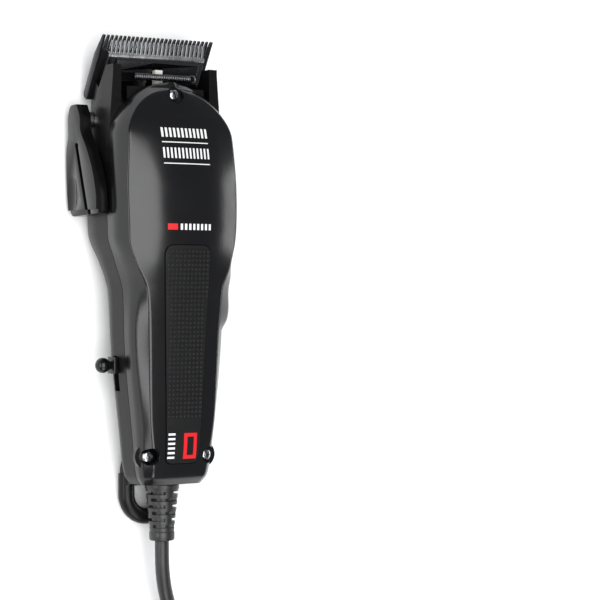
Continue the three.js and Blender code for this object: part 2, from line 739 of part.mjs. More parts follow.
function makeCore() {
  let core = box(coreBack, coreFace, coreStart, coreStart + coreLength, coreBottom, coreTop);
  const yoke = coreBack + 3;
  for (const side of [-1, 1]) {
    const ends = [middleY + side * middleLeg / 2, middleY + side * (coreLength / 2 - legWidth)];
    core = core.subtract(box(yoke, coreFace + eps, Math.min(...ends), Math.max(...ends), -30, 30));
  }
  for (const y of coreScrewSpots) {
    core = core.subtract(rod(coverScrewShank / 2 + gap, -30, 30, [coreScrewX, y, 0]));
  }
  return core;
}

// Bobbin and winding sit on the middle leg, between the yoke and the pole faces
const bobbinBack = coreBack + 3 + gap;
const bobbinFront = coreFace - 0.7;
const bobbinHalf = middleLeg / 2 + 6;
const bobbinRise = 3.4;

function legSleeve(x0, x1, grow, rise) {
  const half = middleLeg / 2 + grow;
  return box(x0, x1, middleY - half, middleY + half, coreBottom - rise, coreTop + rise);
}

function makeBobbin() {
  const flange = bobbinHalf - middleLeg / 2;
  return legSleeve(bobbinBack, bobbinFront, gap + 0.8, gap + 0.8)
    .add(legSleeve(bobbinBack, bobbinBack + 0.8, flange, bobbinRise))
    .add(legSleeve(bobbinFront - 0.8, bobbinFront, flange, bobbinRise))
    .subtract(legSleeve(-60, 60, gap, gap));
}

function makeWinding() {
  const [x0, x1] = [bobbinBack + 0.8 + gap, bobbinFront - 0.8 - gap];
  const outer = legSleeve(x0, x1, bobbinHalf - middleLeg / 2 - 0.5, bobbinRise - 0.4);
  return outer.subtract(legSleeve(-60, 60, 2 * gap + 0.8, 2 * gap + 0.8));
}

function makeCoreScrew(y) {
  return screwSolid(4.2, 1.5, coverScrewShank, coreThickness + 4).translate([coreScrewX, y, coreTop + gap]);
}

function makeArmSpring(side) {
  const start = armThickness / 2 + 0.7;
  const end = side < 0 ? -leftSpringEnd : nutFace - gap;
  const spring = beadedSpring(springRadius, end - start, 6, 12);
  return placed(spring, [side * start, springY, springZ], [0, side * 90, 0]);
}

const nutFace = 9.2;
const nutThickness = 2.6;
const wallSpot = housingHalf(springY);

function makeSpringNut() {
  const half = springRadius;
  const nut = box(nutFace, nutFace + nutThickness, springY - half, springY + half, springZ - half, springZ + half);
  return nut.subtract(rod(powerScrewRadius + gap, 0, 60, [0, springY, springZ], [0, 90, 0]));
}

function makePowerScrew() {
  const screw = turned([
    [0, 0], [powerScrewRadius, 0], [powerScrewRadius, wallSpot - nutFace + 0.6], [3.2, wallSpot - nutFace + 0.6],
    [3.2, wallSpot - nutFace + 1.7], [2.6, wallSpot - nutFace + 2.2], [0, wallSpot - nutFace + 2.2],
  ], 20);
  const solid = placed(screw, [nutFace, springY, springZ], [0, 90, 0]);
  return solid.subtract(box(wallSpot + 1.5, wallSpot + 9, springY - 9, springY + 9, springZ - 0.45, springZ + 0.45));
}

// ---- Switch ----

function makeSwitchKnob() {
  const wall = -seamHalf(switchY);
  const block = box(wall - 1.6, switchFace + gap, switchY - knobHalf, switchY + knobHalf, switchZ - 1.6, switchZ + 1.6);
  const cap = box(wall - 2, wall - 0.6, switchY - knobHalf, switchY + knobHalf, switchZ - 2.6, switchZ + 2.6);
  const ball = turned([[0, -2.8], [1.6, -2.3], [2.8, 0], [2.4, 1.8], [1.4, 3.2], [1.4, 5], [0, 5]], 14);
  return block.add(cap).add(placed(ball, [wall - 5.4, switchY, switchZ], [0, 90, 0]));
}

function makeSwitchBody() {
  const x = switchFace + 2 * gap;
  return box(x, x + 4.6, switchY - 11.2, Math.min(switchY + 4.4, springY - 2.8 - gap), switchZ - 2.4, switchZ + 5);
}

// ---- Cord end, wires, strain relief ----

const sheathEnd = clampY + 2.4;

function makeCordEnd() {
  return rod(cordDiameter / 2, cavityStart + 2.3, sheathEnd, [0, 0, 0], [-90, 0, 0], 16);
}

function makeCordClamp() {
  const bar = box(-9, 9, clampY - 1.5, clampY + 1.5, clampBottom, clampBottom + 1.6);
  return clampScrewSpots.reduce((solid, x) => (
    solid.subtract(rod(clampScrewShank / 2 + gap, -9, 20, [x, clampY, 0]))
  ), bar);
}

function makeClampScrew(x) {
  return screwSolid(3.8, 1.3, clampScrewShank, 5).translate([x, clampY, clampBottom + 1.6 + gap]);
}

const wirePaths = {
  lead_wire_live: [[-1.2, sheathEnd + 1, 1], [-5.5, 22, 3], [-9, 25.5, 2], [-10.4, switchY - 11.9, 0]],
  lead_wire_neutral: [
    [1.2, sheathEnd + 1, 1], [5.5, 24, 4], [7, 40, 5.5], [4, 56, 7], [-2, coreStart + 3, coreTop + 3.2],
    [bobbinFront - 0.5, middleY - bobbinHalf - 1, coreTop + 2],
  ],
  lead_wire_coil: [
    [-10.4, switchY + 5.2, 0.8], [-11, switchY + 9.8, 4], [-9.4, coreStart, coreTop + 2.8], [-8.6, middleY - bobbinHalf - 1, coreTop + 2],
  ],
};

function makeStrainRelief() {
  const [neck, root, tip] = [reliefNeck / 2, reliefRoot / 2, reliefTip / 2];
  const flange = reliefFlange / 2;
  const profile = [[0, cavityStart + 2], [flange, cavityStart + 2], [flange, cavityStart + gap]];
  profile.push([neck, cavityStart + gap], [neck, -gap], [root, -gap], [root, -2.4]);
  const grooves = 6;
  const pitch = (reliefLength - 4.4) / grooves;
  for (let i = 0; i < grooves; i += 1) {
    const at = -2.4 - i * pitch;
    const radius = root + (tip - root) * (i + 1) / grooves;
    profile.push([radius - 1, at], [radius - 1, at - 0.42 * pitch]);
    profile.push([radius, at - 0.42 * pitch], [radius, at - pitch]);
  }
  profile.push([tip, -reliefLength], [0, -reliefLength]);
  return placed(turned(profile.reverse(), 14), [0, 0, 0], [-90, 0, 0]);
}

// ---- Assembly ----

const clipper = new THREE.Group();
const table = new THREE.Group();
table.add(clipper);
clipper.rotation.x = lean;
clipper.position.set(0, restZ * Math.sin(lean) - restY * Math.cos(lean), -restY * Math.sin(lean) - restZ * Math.cos(lean));

const finishes = {
  glossBlack: { color: 0x0b0b0c, roughness: 0.12, metalness: 0 },
  satinBlack: { color: 0x111112, roughness: 0.38, metalness: 0 },
  softGrip: { color: 0x161617, roughness: 0.75, metalness: 0 },
  blackSteel: { color: 0x17181a, roughness: 0.35, metalness: 0.8 },
  satinSteel: { color: 0x9a9c9f, roughness: 0.32, metalness: 1 },
  chrome: { color: 0xd8dadc, roughness: 0.1, metalness: 1 },
  laminations: { color: 0x6d7074, roughness: 0.5, metalness: 0.9 },
  copper: { color: 0xa85a32, roughness: 0.4, metalness: 0.9 },
  nylon: { color: 0xd9d6cc, roughness: 0.6, metalness: 0 },
  cordSheath: { color: 0x121213, roughness: 0.5, metalness: 0 },
  liveWire: { color: 0x6b3a1e, roughness: 0.5, metalness: 0 },
  neutralWire: { color: 0x2b4f8f, roughness: 0.5, metalness: 0 },
};

function addPiece(group, name, solid, finish) {
  const mesh = new THREE.Mesh(toGeometry(solid), new THREE.MeshStandardMaterial(finishes[finish]));
  mesh.name = name;
  group.add(mesh);
}

addPiece(clipper, 'front_cover', makeFrontCover(), 'glossBlack');
addPiece(clipper, 'rear_housing', makeRearHousing(), 'satinBlack');
addPiece(clipper, 'grip_insert', makeGripInsert(), 'softGrip');
addPiece(clipper, 'hang_loop', makeHangLoop(), 'satinBlack');
for (const spot of coverScrewSpots) {
  addPiece(clipper, spot.name, makeCoverScrew(spot).translate([spot.x, spot.y, spot.floor]), 'chrome');
}
addPiece(clipper, 'fixed_blade', makeFixedBlade(), 'blackSteel');
addPiece(clipper, 'cutter_blade', makeCutterBlade(), 'satinSteel');
addPiece(clipper, 'cutter_guide', makeCutterGuide(), 'satinBlack');
addPiece(clipper, 'cutter_spring', makeCutterSpring(), 'chrome');
addPiece(clipper, 'blade_screw_left', makeBladeScrew(bladeScrewSpots[0]), 'chrome');
addPiece(clipper, 'blade_screw_right', makeBladeScrew(bladeScrewSpots[1]), 'chrome');
addPiece(clipper, 'taper_lever', makeTaperLever(), 'satinBlack');
addPiece(clipper, 'taper_shaft', makeTaperShaft(), 'satinSteel');
addPiece(clipper, 'taper_slide', makeTaperSlide(), 'satinSteel');
addPiece(clipper, 'core_laminations', makeCore(), 'laminations');
addPiece(clipper, 'coil_bobbin', makeBobbin(), 'nylon');
addPiece(clipper, 'coil_winding', makeWinding(), 'copper');
addPiece(clipper, 'core_screw_lower', makeCoreScrew(coreScrewSpots[0]), 'chrome');
addPiece(clipper, 'core_screw_upper', makeCoreScrew(coreScrewSpots[1]), 'chrome');
addPiece(clipper, 'drive_arm', makeDriveArm(), 'satinSteel');
addPiece(clipper, 'armature', makeArmature(), 'laminations');
addPiece(clipper, 'drive_finger', makeDriveFinger(), 'nylon');
addPiece(clipper, 'arm_pivot_pin', makePivotPin(), 'satinSteel');
addPiece(clipper, 'arm_spring_left', makeArmSpring(-1), 'satinSteel');
addPiece(clipper, 'arm_spring_right', makeArmSpring(1), 'satinSteel');
addPiece(clipper, 'spring_nut', makeSpringNut(), 'satinSteel');
addPiece(clipper, 'power_adjust_screw', makePowerScrew(), 'chrome');
addPiece(clipper, 'switch_knob', makeSwitchKnob(), 'satinBlack');
addPiece(clipper, 'switch_body', makeSwitchBody(), 'nylon');
addPiece(clipper, 'cord_end', makeCordEnd(), 'cordSheath');
addPiece(clipper, 'cord_clamp', makeCordClamp(), 'nylon');
addPiece(clipper, 'clamp_screw_left', makeClampScrew(clampScrewSpots[0]), 'chrome');
addPiece(clipper, 'clamp_screw_right', makeClampScrew(clampScrewSpots[1]), 'chrome');
for (const [name, path] of Object.entries(wirePaths)) {
  addPiece(clipper, name, toSolid(tube(path, 1.5, 16, 8)), name === 'lead_wire_neutral' ? 'neutralWire' : 'liveWire');
}
addPiece(clipper, 'strain_relief', makeStrainRelief(), 'satinBlack');

// ---- Cord, coil and plug, on the surface ----

// Centre line from the strain relief to the coil, and from the coil to the plug, points set by hand
const cordRoute = [
  [0, -125.9, 14.7], [0, -130, 14.6], [0.2, -134.5, 14.3], [0.8, -139, 13.7], [2, -143.5, 12.7],
  [3.8, -148, 11.3], [6.2, -152.5, 9.5], [9.2, -157, 7.6], [12.9, -161.4, 5.8], [17.1, -165.9, 4.4],
  [21.5, -170.8, 3.5], [25.2, -176.5, 3.05], [28.1, -183, 3.05], [30, -190.5, 3.05], [30.6, -199, 3.05],
  [30.6, -208, 3.05],
];
const tailRoute = [
  [14.4, -200, 18.6], [14, -208, 18.7], [12.6, -215, 19], [10, -222, 19.8], [6.6, -228.6, 21],
  [2.8, -234.6, 22.3], [-0.4, -240, 23], [-1.9, -244.6, 23.05], [-2, -248.4, 23.05],
];
const hankCentre = [-2, -236];
const plugSpot = [-2, -249];
const plugBase = coilLayers * cordDiameter + 2 * gap;
const plugThick = 13.7;
const plugWide = 35.3;
const plugSleeve = 14;
const plugBody = 22;
const pinDiameter = 4;
const pinLength = 19;
const pinSpacing = 18.6;

function makeCord(route, steps) {
  return toSolid(tube(route, cordDiameter, steps, 10));
}

// Outline of one turn of the hank, by the radius of its folds
function hankTurn(radius) {
  const points = [];
  for (const end of [1, -1]) {
    for (let i = 0; i <= 16; i += 1) {
      const angle = Math.PI * (i / 16 + (end > 0 ? 0 : 1));
      points.push([radius * Math.cos(angle), end * hankRun / 2 + radius * Math.sin(angle)]);
    }
  }
  return points;
}

function makeCoil() {
  const half = coilColumns * cordDiameter / 2;
  const height = coilLayers * cordDiameter;
  const ring = (inset) => toSolid(slab(hankTurn(hankMid + half - inset), 1.3 - inset, height - 1.3 + inset))
    .subtract(toSolid(slab(hankTurn(hankMid - half + inset), -1, height + 1)));
  return ring(0).add(ring(1.3)).translate([...hankCentre, 0]);
}

function makePlugBody() {
  const [x, y] = plugSpot;
  const sleeve = plugSleeve;
  const half = [
    [0, gap], [3.8, gap], [4.8, sleeve], [plugWide / 2 - 4, sleeve + 3], [plugWide / 2, sleeve + 9],
    [plugWide / 2, sleeve + plugBody], [0, sleeve + plugBody],
  ];
  const outline = [...half, ...half.slice(1, -1).reverse().map(([px, py]) => [-px, py])];
  const waist = profileSlab([
    [0, plugThick * 0.2], [sleeve, plugThick * 0.15], [sleeve + 6, 0], [sleeve + plugBody + eps, 0],
    [sleeve + plugBody + eps, plugThick], [sleeve + 6, plugThick], [sleeve, plugThick * 0.85], [0, plugThick * 0.8],
  ], -plugWide, plugWide);
  const body = toSolid(slab(outline, -eps, plugThick + eps)).intersect(toSolid(waist));
  return body.rotate([0, 0, 180]).translate([x, y, plugBase]);
}

function makePlugPin(side) {
  const start = plugSleeve + plugBody + gap;
  const spot = [plugSpot[0] + side * pinSpacing / 2, plugSpot[1] - start, plugBase + plugThick / 2];
  const pin = turned([
    [0, 0], [pinDiameter / 2, 0], [pinDiameter / 2, pinLength - 1.2], [pinDiameter / 4, pinLength], [0, pinLength],
  ], 14);
  return placed(pin, spot, [90, 0, 0]);
}

addPiece(table, 'cord', makeCord(cordRoute, 24), 'cordSheath');
addPiece(table, 'cord_coil', makeCoil(), 'cordSheath');
addPiece(table, 'cord_tail', makeCord(tailRoute, 16), 'cordSheath');
addPiece(table, 'plug_body', makePlugBody(), 'satinBlack');
addPiece(table, 'plug_pin_left', makePlugPin(-1), 'chrome');
addPiece(table, 'plug_pin_right', makePlugPin(1), 'chrome');

export default table;
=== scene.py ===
# %% [markdown]
# # A mains hair clipper, lying on its back
# The clipper is a gloss black front cover on a satin rear housing, with a toothed blade set, a taper
# lever, a grip insert with raised dots, a hang loop and a mains cord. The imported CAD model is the
# fixed frame. Every piece made here takes its place from that frame and rides on one of its bodies.

# %% Load the frame
import json
import math
import bmesh
import bpy
from mathutils import Matrix, Vector


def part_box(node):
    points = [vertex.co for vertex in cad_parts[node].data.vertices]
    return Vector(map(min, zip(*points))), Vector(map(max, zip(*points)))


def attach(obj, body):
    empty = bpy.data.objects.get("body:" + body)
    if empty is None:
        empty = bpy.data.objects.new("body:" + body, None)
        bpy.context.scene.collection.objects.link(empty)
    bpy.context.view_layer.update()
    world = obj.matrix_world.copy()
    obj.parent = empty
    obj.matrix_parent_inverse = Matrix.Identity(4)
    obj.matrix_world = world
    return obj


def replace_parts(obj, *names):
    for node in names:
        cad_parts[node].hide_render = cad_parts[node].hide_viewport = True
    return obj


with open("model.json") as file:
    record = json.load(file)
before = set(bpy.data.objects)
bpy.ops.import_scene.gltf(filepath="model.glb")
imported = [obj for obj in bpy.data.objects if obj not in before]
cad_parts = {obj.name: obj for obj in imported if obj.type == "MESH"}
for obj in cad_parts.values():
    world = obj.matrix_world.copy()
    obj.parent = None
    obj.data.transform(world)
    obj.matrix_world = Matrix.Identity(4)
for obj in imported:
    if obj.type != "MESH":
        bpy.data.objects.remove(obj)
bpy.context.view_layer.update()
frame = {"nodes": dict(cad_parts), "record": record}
RECORD = frame["record"]
MM = 0.001

# %% [markdown]
# ## The clipper's own axes
# The clipper leans a little, because it lies on a flat of its head and on its hang loop. The motor
# arm turns about a line that stands square on the clipper, so that joint gives the lean. The housing's
# tail end and the cord's axis give the zero point, so every piece can be drawn in plain millimetres.

# %% A matrix from the clipper's own millimetres to the frame's metres
JOINTS = {joint["name"]: joint for joint in RECORD["behaviour"]["joints"]}
UP = -Vector(JOINTS["arm_swing"]["axis"]).normalized()
SIDE = Vector((1, 0, 0))
AHEAD = UP.cross(SIDE)
PIVOT_AT = Vector((0, 22, -3.25))
ORIGIN = Vector(JOINTS["arm_swing"]["pos_m"]) - MM * (AHEAD * PIVOT_AT.y + UP * PIVOT_AT.z)
TURN = Matrix((SIDE, AHEAD, UP)).transposed()
TO_FRAME = Matrix.Translation(ORIGIN) @ (TURN.to_4x4() @ Matrix.Scale(MM, 4))


def at(x, y, z):
    """A point of the clipper's own frame, in millimetres, as metres of the shared frame."""
    return TO_FRAME @ Vector((x, y, z))


BLADE_TILT = math.radians(31)
TIP = Vector((0, 162.4, -2))
BLADE_TO_OWN = Matrix.Translation(TIP) @ Matrix.Rotation(BLADE_TILT, 4, "X")
print("lean", round(math.degrees(math.asin(AHEAD.z)), 2), "degrees; tail end at", at(0, 0, 0))

# %% [markdown]
# ## Camera
# A long lens from the clipper's front and left keeps its sides nearly parallel. The picture's upward
# direction is the clipper's long axis, and the clipper sits to the left of the picture's middle.

# %% Camera
VIEW_YAW = math.radians(33)
VIEW_DISTANCE = 0.83
VIEW_HEIGHT = 66.8
VIEW_OFFSET = 50.5 * MM
camera_data = bpy.data.cameras.new("camera")
camera_data.lens = 136.2
camera_data.sensor_width = 36
camera_data.clip_end = 20
camera = bpy.data.objects.new("camera", camera_data)
bpy.context.collection.objects.link(camera)
towards = -SIDE * math.sin(VIEW_YAW) + UP * math.cos(VIEW_YAW)
rightward = AHEAD.cross(towards)
eye = at(0, VIEW_HEIGHT, 0) + rightward * VIEW_OFFSET + towards * VIEW_DISTANCE
camera.matrix_world = Matrix.Translation(eye) @ Matrix((rightward, AHEAD, towards)).transposed().to_4x4()
bpy.context.scene.camera = camera
print("camera at", tuple(round(v, 3) for v in eye))

# %% [markdown]
# ## Small tools for meshes and node materials
# Most pieces are lofts, lathes or sweeps, so a few short helpers build those from plain lists of points.
# Points stay in the clipper's millimetres until the mesh is stored, which keeps the numbers readable.

# %% Mesh helpers


def store(name, verts, faces, body, material, place=TO_FRAME, smooth=True, sharp=38):
    """Make an object from points and faces, placed in the frame, and let it ride on a body."""
    mesh = bpy.data.meshes.new(name)
    mesh.from_pydata([tuple(place @ Vector(v)) for v in verts], [], faces)
    mesh.validate()
    piece = bpy.data.objects.new(name, mesh)
    bpy.context.collection.objects.link(piece)
    finish_surface(piece, smooth, sharp)
    piece.data.materials.append(material)
    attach(piece, body)
    return piece


def finish_surface(piece, smooth=True, sharp=38):
    """Point the faces outwards, and shade smooth with crisp lines where the surface turns sharply."""
    bm = bmesh.new()
    bm.from_mesh(piece.data)
    bmesh.ops.remove_doubles(bm, verts=bm.verts, dist=1e-7)
    bmesh.ops.recalc_face_normals(bm, faces=bm.faces)
    bm.to_mesh(piece.data)
    bm.free()
    if smooth:
        piece.data.shade_smooth()
        piece.data.set_sharp_from_angle(angle=math.radians(sharp))


def apply_modifiers(piece):
    """Turn the piece's modifiers into plain mesh."""
    depsgraph = bpy.context.evaluated_depsgraph_get()
    mesh = bpy.data.meshes.new_from_object(piece.evaluated_get(depsgraph))
    piece.modifiers.clear()
    piece.data = mesh


def loft(rows, close_ends=True):
    """Skin a row of closed sections that all have the same number of points."""
    count = len(rows[0])
    verts = [point for row in rows for point in row]
    faces = []
    for r in range(len(rows) - 1):
        for i in range(count):
            j = (i + 1) % count
            faces.append((r * count + i, r * count + j, (r + 1) * count + j, (r + 1) * count + i))
    if close_ends:
        faces.append(tuple(range(count - 1, -1, -1)))
        faces.append(tuple((len(rows) - 1) * count + i for i in range(count)))
    return verts, faces


def lathe(profile, sides=48):
    """Turn a profile of (radius, height) points about Z. A radius of 0 closes an end."""
    rows = [[(r * math.cos(a), r * math.sin(a), h) for a in (math.tau * i / sides for i in range(sides))]
            for r, h in profile]
    return loft(rows, close_ends=profile[0][0] > 0)


def prism(outline, low, high, axis="z"):
    """Raise a flat outline from low to high along an axis."""
    turn = {"z": lambda a, b, c: (a, b, c), "x": lambda a, b, c: (c, a, b)}[axis]
    rows = [[turn(a, b, level) for a, b in outline] for level in (low, high)]
    return loft(rows)


def joined(*parts):
    """Put several (verts, faces) lists into one."""
    verts, faces = [], []
    for part_verts, part_faces in parts:
        start = len(verts)
        verts += part_verts
        faces += [tuple(start + i for i in face) for face in part_faces]
    return verts, faces


def moved(part, matrix):
    """The same shape after a matrix."""
    verts, faces = part
    return [tuple(matrix @ Vector(v)) for v in verts], faces


def smooth_line(points, per_span=6):
    """A finer line through the points, on Catmull-Rom curves."""
    points = [Vector(p) for p in points]
    padded = [2 * points[0] - points[1], *points, 2 * points[-1] - points[-2]]
    out = []
    for a, b, c, d in zip(padded, padded[1:], padded[2:], padded[3:]):
        for step in range(per_span):
            t = step / per_span
            out.append(0.5 * (2 * b + (c - a) * t + (2 * a - 5 * b + 4 * c - d) * t * t
                              + (3 * b - a - 3 * c + d) * t ** 3))
    return [*out, points[-1]]


def sweep(points, radius, sides=16):
    """A round tube along a line of points, with a frame that doesn't twist."""
    points = [Vector(p) for p in points]
    rows = []
    across = None
    for i, point in enumerate(points):
        ahead = (points[min(i + 1, len(points) - 1)] - points[max(i - 1, 0)]).normalized()
        guess = across if across is not None else ahead.orthogonal()
        across = (guess - ahead * guess.dot(ahead)).normalized()
        other = ahead.cross(across)
        size = radius(i / (len(points) - 1)) if callable(radius) else radius
        rows.append([tuple(point + size * (across * math.cos(a) + other * math.sin(a)))
                     for a in (math.tau * k / sides for k in range(sides))])
    return loft(rows)


# %% Material helpers
def nodes_of(name, slot):
    """A new material with its node tree and its Principled shader."""
    material = bpy.data.materials.new(name)
    material.use_nodes = True
    tree = material.node_tree
    shader = tree.nodes["Principled BSDF"]
    material["slot"] = slot
    return material, tree, shader


def noise(tree, scale, detail=4.0, rough=0.5, stretch=(1, 1, 1)):
    """Noise over the piece's own space, in metres, stretched if the finish has a grain."""
    place = tree.nodes.new("ShaderNodeTexCoord")
    mapping = tree.nodes.new("ShaderNodeMapping")
    mapping.inputs["Scale"].default_value = stretch
    texture = tree.nodes.new("ShaderNodeTexNoise")
    texture.inputs["Scale"].default_value = scale
    texture.inputs["Detail"].default_value = detail
    texture.inputs["Roughness"].default_value = rough
    tree.links.new(place.outputs["Object"], mapping.inputs["Vector"])
    tree.links.new(mapping.outputs["Vector"], texture.inputs["Vector"])
    return texture.outputs["Fac"]


def ramp(tree, value, low, high, start=0.3, end=0.7):
    """Map a 0..1 value to a range, between two places on it."""
    node = tree.nodes.new("ShaderNodeMapRange")
    node.inputs["From Min"].default_value = start
    node.inputs["From Max"].default_value = end
    node.inputs["To Min"].default_value = low
    node.inputs["To Max"].default_value = high
    tree.links.new(value, node.inputs["Value"])
    return node.outputs["Result"]


def blend_colours(tree, value, first, second):
    """A colour between two, by a 0..1 value."""
    node = tree.nodes.new("ShaderNodeMix")
    node.data_type = "RGBA"
    node.inputs["A"].default_value = (*first, 1)
    node.inputs["B"].default_value = (*second, 1)
    tree.links.new(value, node.inputs["Factor"])
    return node.outputs["Result"]


def bump(tree, shader, heights, strength=0.3, distance=0.0002):
    """Raise the surface's shading by a height, or by several added up."""
    total = heights[0]
    for height in heights[1:]:
        add = tree.nodes.new("ShaderNodeMath")
        tree.links.new(total, add.inputs[0])
        tree.links.new(height, add.inputs[1])
        total = add.outputs[0]
    node = tree.nodes.new("ShaderNodeBump")
    node.inputs["Strength"].default_value = strength
    node.inputs["Distance"].default_value = distance
    tree.links.new(total, node.inputs["Height"])
    tree.links.new(node.outputs["Normal"], shader.inputs["Normal"])
    return node


def edge_wear(tree, spread=0.0006):
    """About 1 on worn, outward edges and 0 elsewhere, from the bevelled normal."""
    bevel = tree.nodes.new("ShaderNodeBevel")
    bevel.samples = 4
    bevel.inputs["Radius"].default_value = spread
    geometry = tree.nodes.new("ShaderNodeNewGeometry")
    dot = tree.nodes.new("ShaderNodeVectorMath")
    dot.operation = "DOT_PRODUCT"
    tree.links.new(bevel.outputs["Normal"], dot.inputs[0])
    tree.links.new(geometry.outputs["Normal"], dot.inputs[1])
    return ramp(tree, dot.outputs["Value"], 1, 0, 0.75, 0.98)

# %% [markdown]
# ## Floor and light
# A pale floor fills the picture, as on a studio table. The cover is glossy black, so it shows the lamps
# rather than its own colour: a large lamp high on the left lights the floor, a tall soft lamp low on the
# left makes the grey facet, a narrow lamp on the right draws a bright band there, and the world stays dim
# so that the front face stays dark.

# %% Floor, lamps and world
floor_mesh = bpy.data.meshes.new("floor")
FLOOR_HALF, FLOOR_Z = 3, -0.0002
SQUARE = ((-1, -1), (1, -1), (1, 1), (-1, 1))
floor_corners = [(x * FLOOR_HALF, y * FLOOR_HALF, FLOOR_Z) for x, y in SQUARE]
floor_mesh.from_pydata(floor_corners, [], [(0, 1, 2, 3)])
floor = bpy.data.objects.new("floor", floor_mesh)
bpy.context.collection.objects.link(floor)
floor_paint = bpy.data.materials.new("pale_floor")
floor_paint.use_nodes = True
floor_paint.node_tree.nodes["Principled BSDF"].inputs["Base Color"].default_value = (0.93, 0.93, 0.93, 1)
floor_paint.node_tree.nodes["Principled BSDF"].inputs["Roughness"].default_value = 0.9
floor_paint.node_tree.nodes["Principled BSDF"].inputs["Specular IOR Level"].default_value = 0.0
floor_mesh.materials.append(floor_paint)


def lamp(name, place, aim, size, power, height=None):
    """A soft rectangular lamp at a point of the clipper's own frame (mm), pointed at another."""
    data = bpy.data.lights.new(name, "AREA")
    data.shape = "RECTANGLE"
    data.size = size
    data.size_y = height or size
    data.energy = power
    lamp_object = bpy.data.objects.new(name, data)
    bpy.context.collection.objects.link(lamp_object)
    start, end = at(*place), at(*aim)
    back = (start - end).normalized()
    across = AHEAD.cross(back).normalized()
    lamp_object.matrix_world = (Matrix.Translation(start)
                                @ Matrix((across, back.cross(across), back)).transposed().to_4x4())
    return lamp_object


MIDDLE = (0, 75, 5)
lamp("overhead", (-380, 75, 1350), MIDDLE, 1.1, 27, 1.7)
lamp("left_soft", (-900, 110, 330), MIDDLE, 0.3, 4.2, 0.9)
lamp("right_strip", (860, 40, 300), MIDDLE, 0.04, 1.5, 0.9)
lamp("tail_soft", (-100, -700, 500), (0, 0, 0), 0.5, 3.0)
world = bpy.data.worlds.new("studio")
world.use_nodes = True
world.node_tree.nodes["Background"].inputs["Color"].default_value = (0.92, 0.95, 1, 1)
world.node_tree.nodes["Background"].inputs["Strength"].default_value = 0.22
bpy.context.scene.world = world
bpy.context.scene.view_settings.view_transform = "Standard"

# %% [markdown]
# ## Cord
# The cord is 5.2 mm across and a little over two and a half metres long. It leaves the strain relief
# straight, sinks to the surface and is folded into a hank, three columns wide and three layers high, with
# its two-pin plug lying on top. A tube swept along one smooth line gives it an even diameter, and the
# turns come from a loop, so that they lie a diameter apart. Each time the line moves over to the next
# column or climbs to the next layer, it does so just before the turn beneath does.

# %% The cord's centre line, in millimetres of the frame
CORD_D = 5.2
LOW = CORD_D / 2 + 0.45
ROUTE = [
    (0, -125.9, 14.7), (0, -130, 14.6), (0.2, -134.5, 14.3), (0.8, -139, 13.7), (2, -143.5, 12.7),
    (3.8, -148, 11.3), (6.2, -152.5, 9.5), (9.2, -157, 7.6), (12.9, -161.4, 5.8), (17.1, -165.9, 4.4),
    (21.4, -170.8, 3.5), (25.1, -176.5, LOW), (28, -183, LOW), (29.8, -190.5, LOW), (30.2, -199, LOW),
    (30, -208, LOW), (29.3, -218, LOW), (28.3, -228, LOW), (26.9, -238, LOW), (25.6, -247, LOW),
]
TAIL = [
    (14.3, -206, 14.2), (13.2, -214, 16.2), (10.4, -221.6, 18.6), (6.6, -228.4, 20.8),
    (2.8, -234.6, 22.4), (-0.4, -240, 23), (-1.8, -245, 23.05), (-2, -249.2, 23.05),
]
HANK = Vector((-2, -236))
HALF_RUN = 40
COLUMNS = (26.8, 21.6, 16.4)
LAYERS = 3
STEPS = 32
SHIFT = 0.22


def hank_point(turns, radius, height):
    """A point so many turns on, clockwise from the top of the right-hand run, with four even quarters."""
    quarter, share = divmod((turns % 1) * 4, 1)
    side = 1 if quarter < 2 else -1
    if quarter % 2 == 0:
        x, y = radius, HALF_RUN * (1 - 2 * share)
    else:
        x, y = radius * math.cos(math.pi * share), -HALF_RUN - radius * math.sin(math.pi * share)
    return (HANK.x + side * x, HANK.y + side * y, height)


def hank_turns(first, last, shifts):
    """The hank's turns from one place to another. Each shift is (its start, column, layer after it)."""
    points = []
    for step in range(round((last - first) * STEPS) + 1):
        turns = first + step / STEPS
        column, layer = 0, 0
        for start, next_column, next_layer in shifts:
            share = min(max((turns - start) / SHIFT, 0), 1)
            ease = share * share * (3 - 2 * share)
            column += (next_column - column) * ease
            layer += (next_layer - layer) * ease
        radius = COLUMNS[0] + (COLUMNS[-1] - COLUMNS[0]) * column / (len(COLUMNS) - 1)
        points.append(hank_point(turns, radius, LOW + layer * CORD_D))
    return points


# The line moves across a layer a column at a time, climbs, and goes back across the next layer
shifts = []
start = 1
for layer in range(LAYERS):
    order = range(len(COLUMNS)) if layer % 2 == 0 else range(len(COLUMNS) - 1, -1, -1)
    for number, column in enumerate(order):
        if layer or number:
            shifts.append((start, column, layer))
            start += 1 if 0 < number < len(COLUMNS) - 1 else 1 - SHIFT
cord_line = smooth_line([*ROUTE, *hank_turns(0.1875, 8, shifts), *TAIL], 2)

# %% [markdown]
# ## The cord's sheath
# A mains cord has a soft PVC sheath. It is matt with a faint gloss, and fine dust clings to it, so the
# roughness changes a little along its length. One material serves the cord alone.

# %% Cord sheath and its tube
sheath, tree, shader = nodes_of("cord_sheath", "cord_sheath")
shader.inputs["Base Color"].default_value = (0.012, 0.012, 0.013, 1)
tree.links.new(ramp(tree, noise(tree, 900), 0.34, 0.5), shader.inputs["Roughness"])
bump(tree, shader, [noise(tree, 2600, 2)], 0.12, 0.0001)
PLAIN = Matrix.Scale(MM, 4)
cord = store("mains_cord", *sweep(cord_line, CORD_D / 2, 20), "housing", sheath, PLAIN, sharp=60)
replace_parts(cord, "cord", "cord_coil", "cord_tail")
# %% [markdown]
# ## A tie round the hank
# A thin plastic strap holds the turns together across both runs, as on a new appliance. It is one closed
# band: a rounded rectangle swept round, with a small head where the strap is pulled tight.

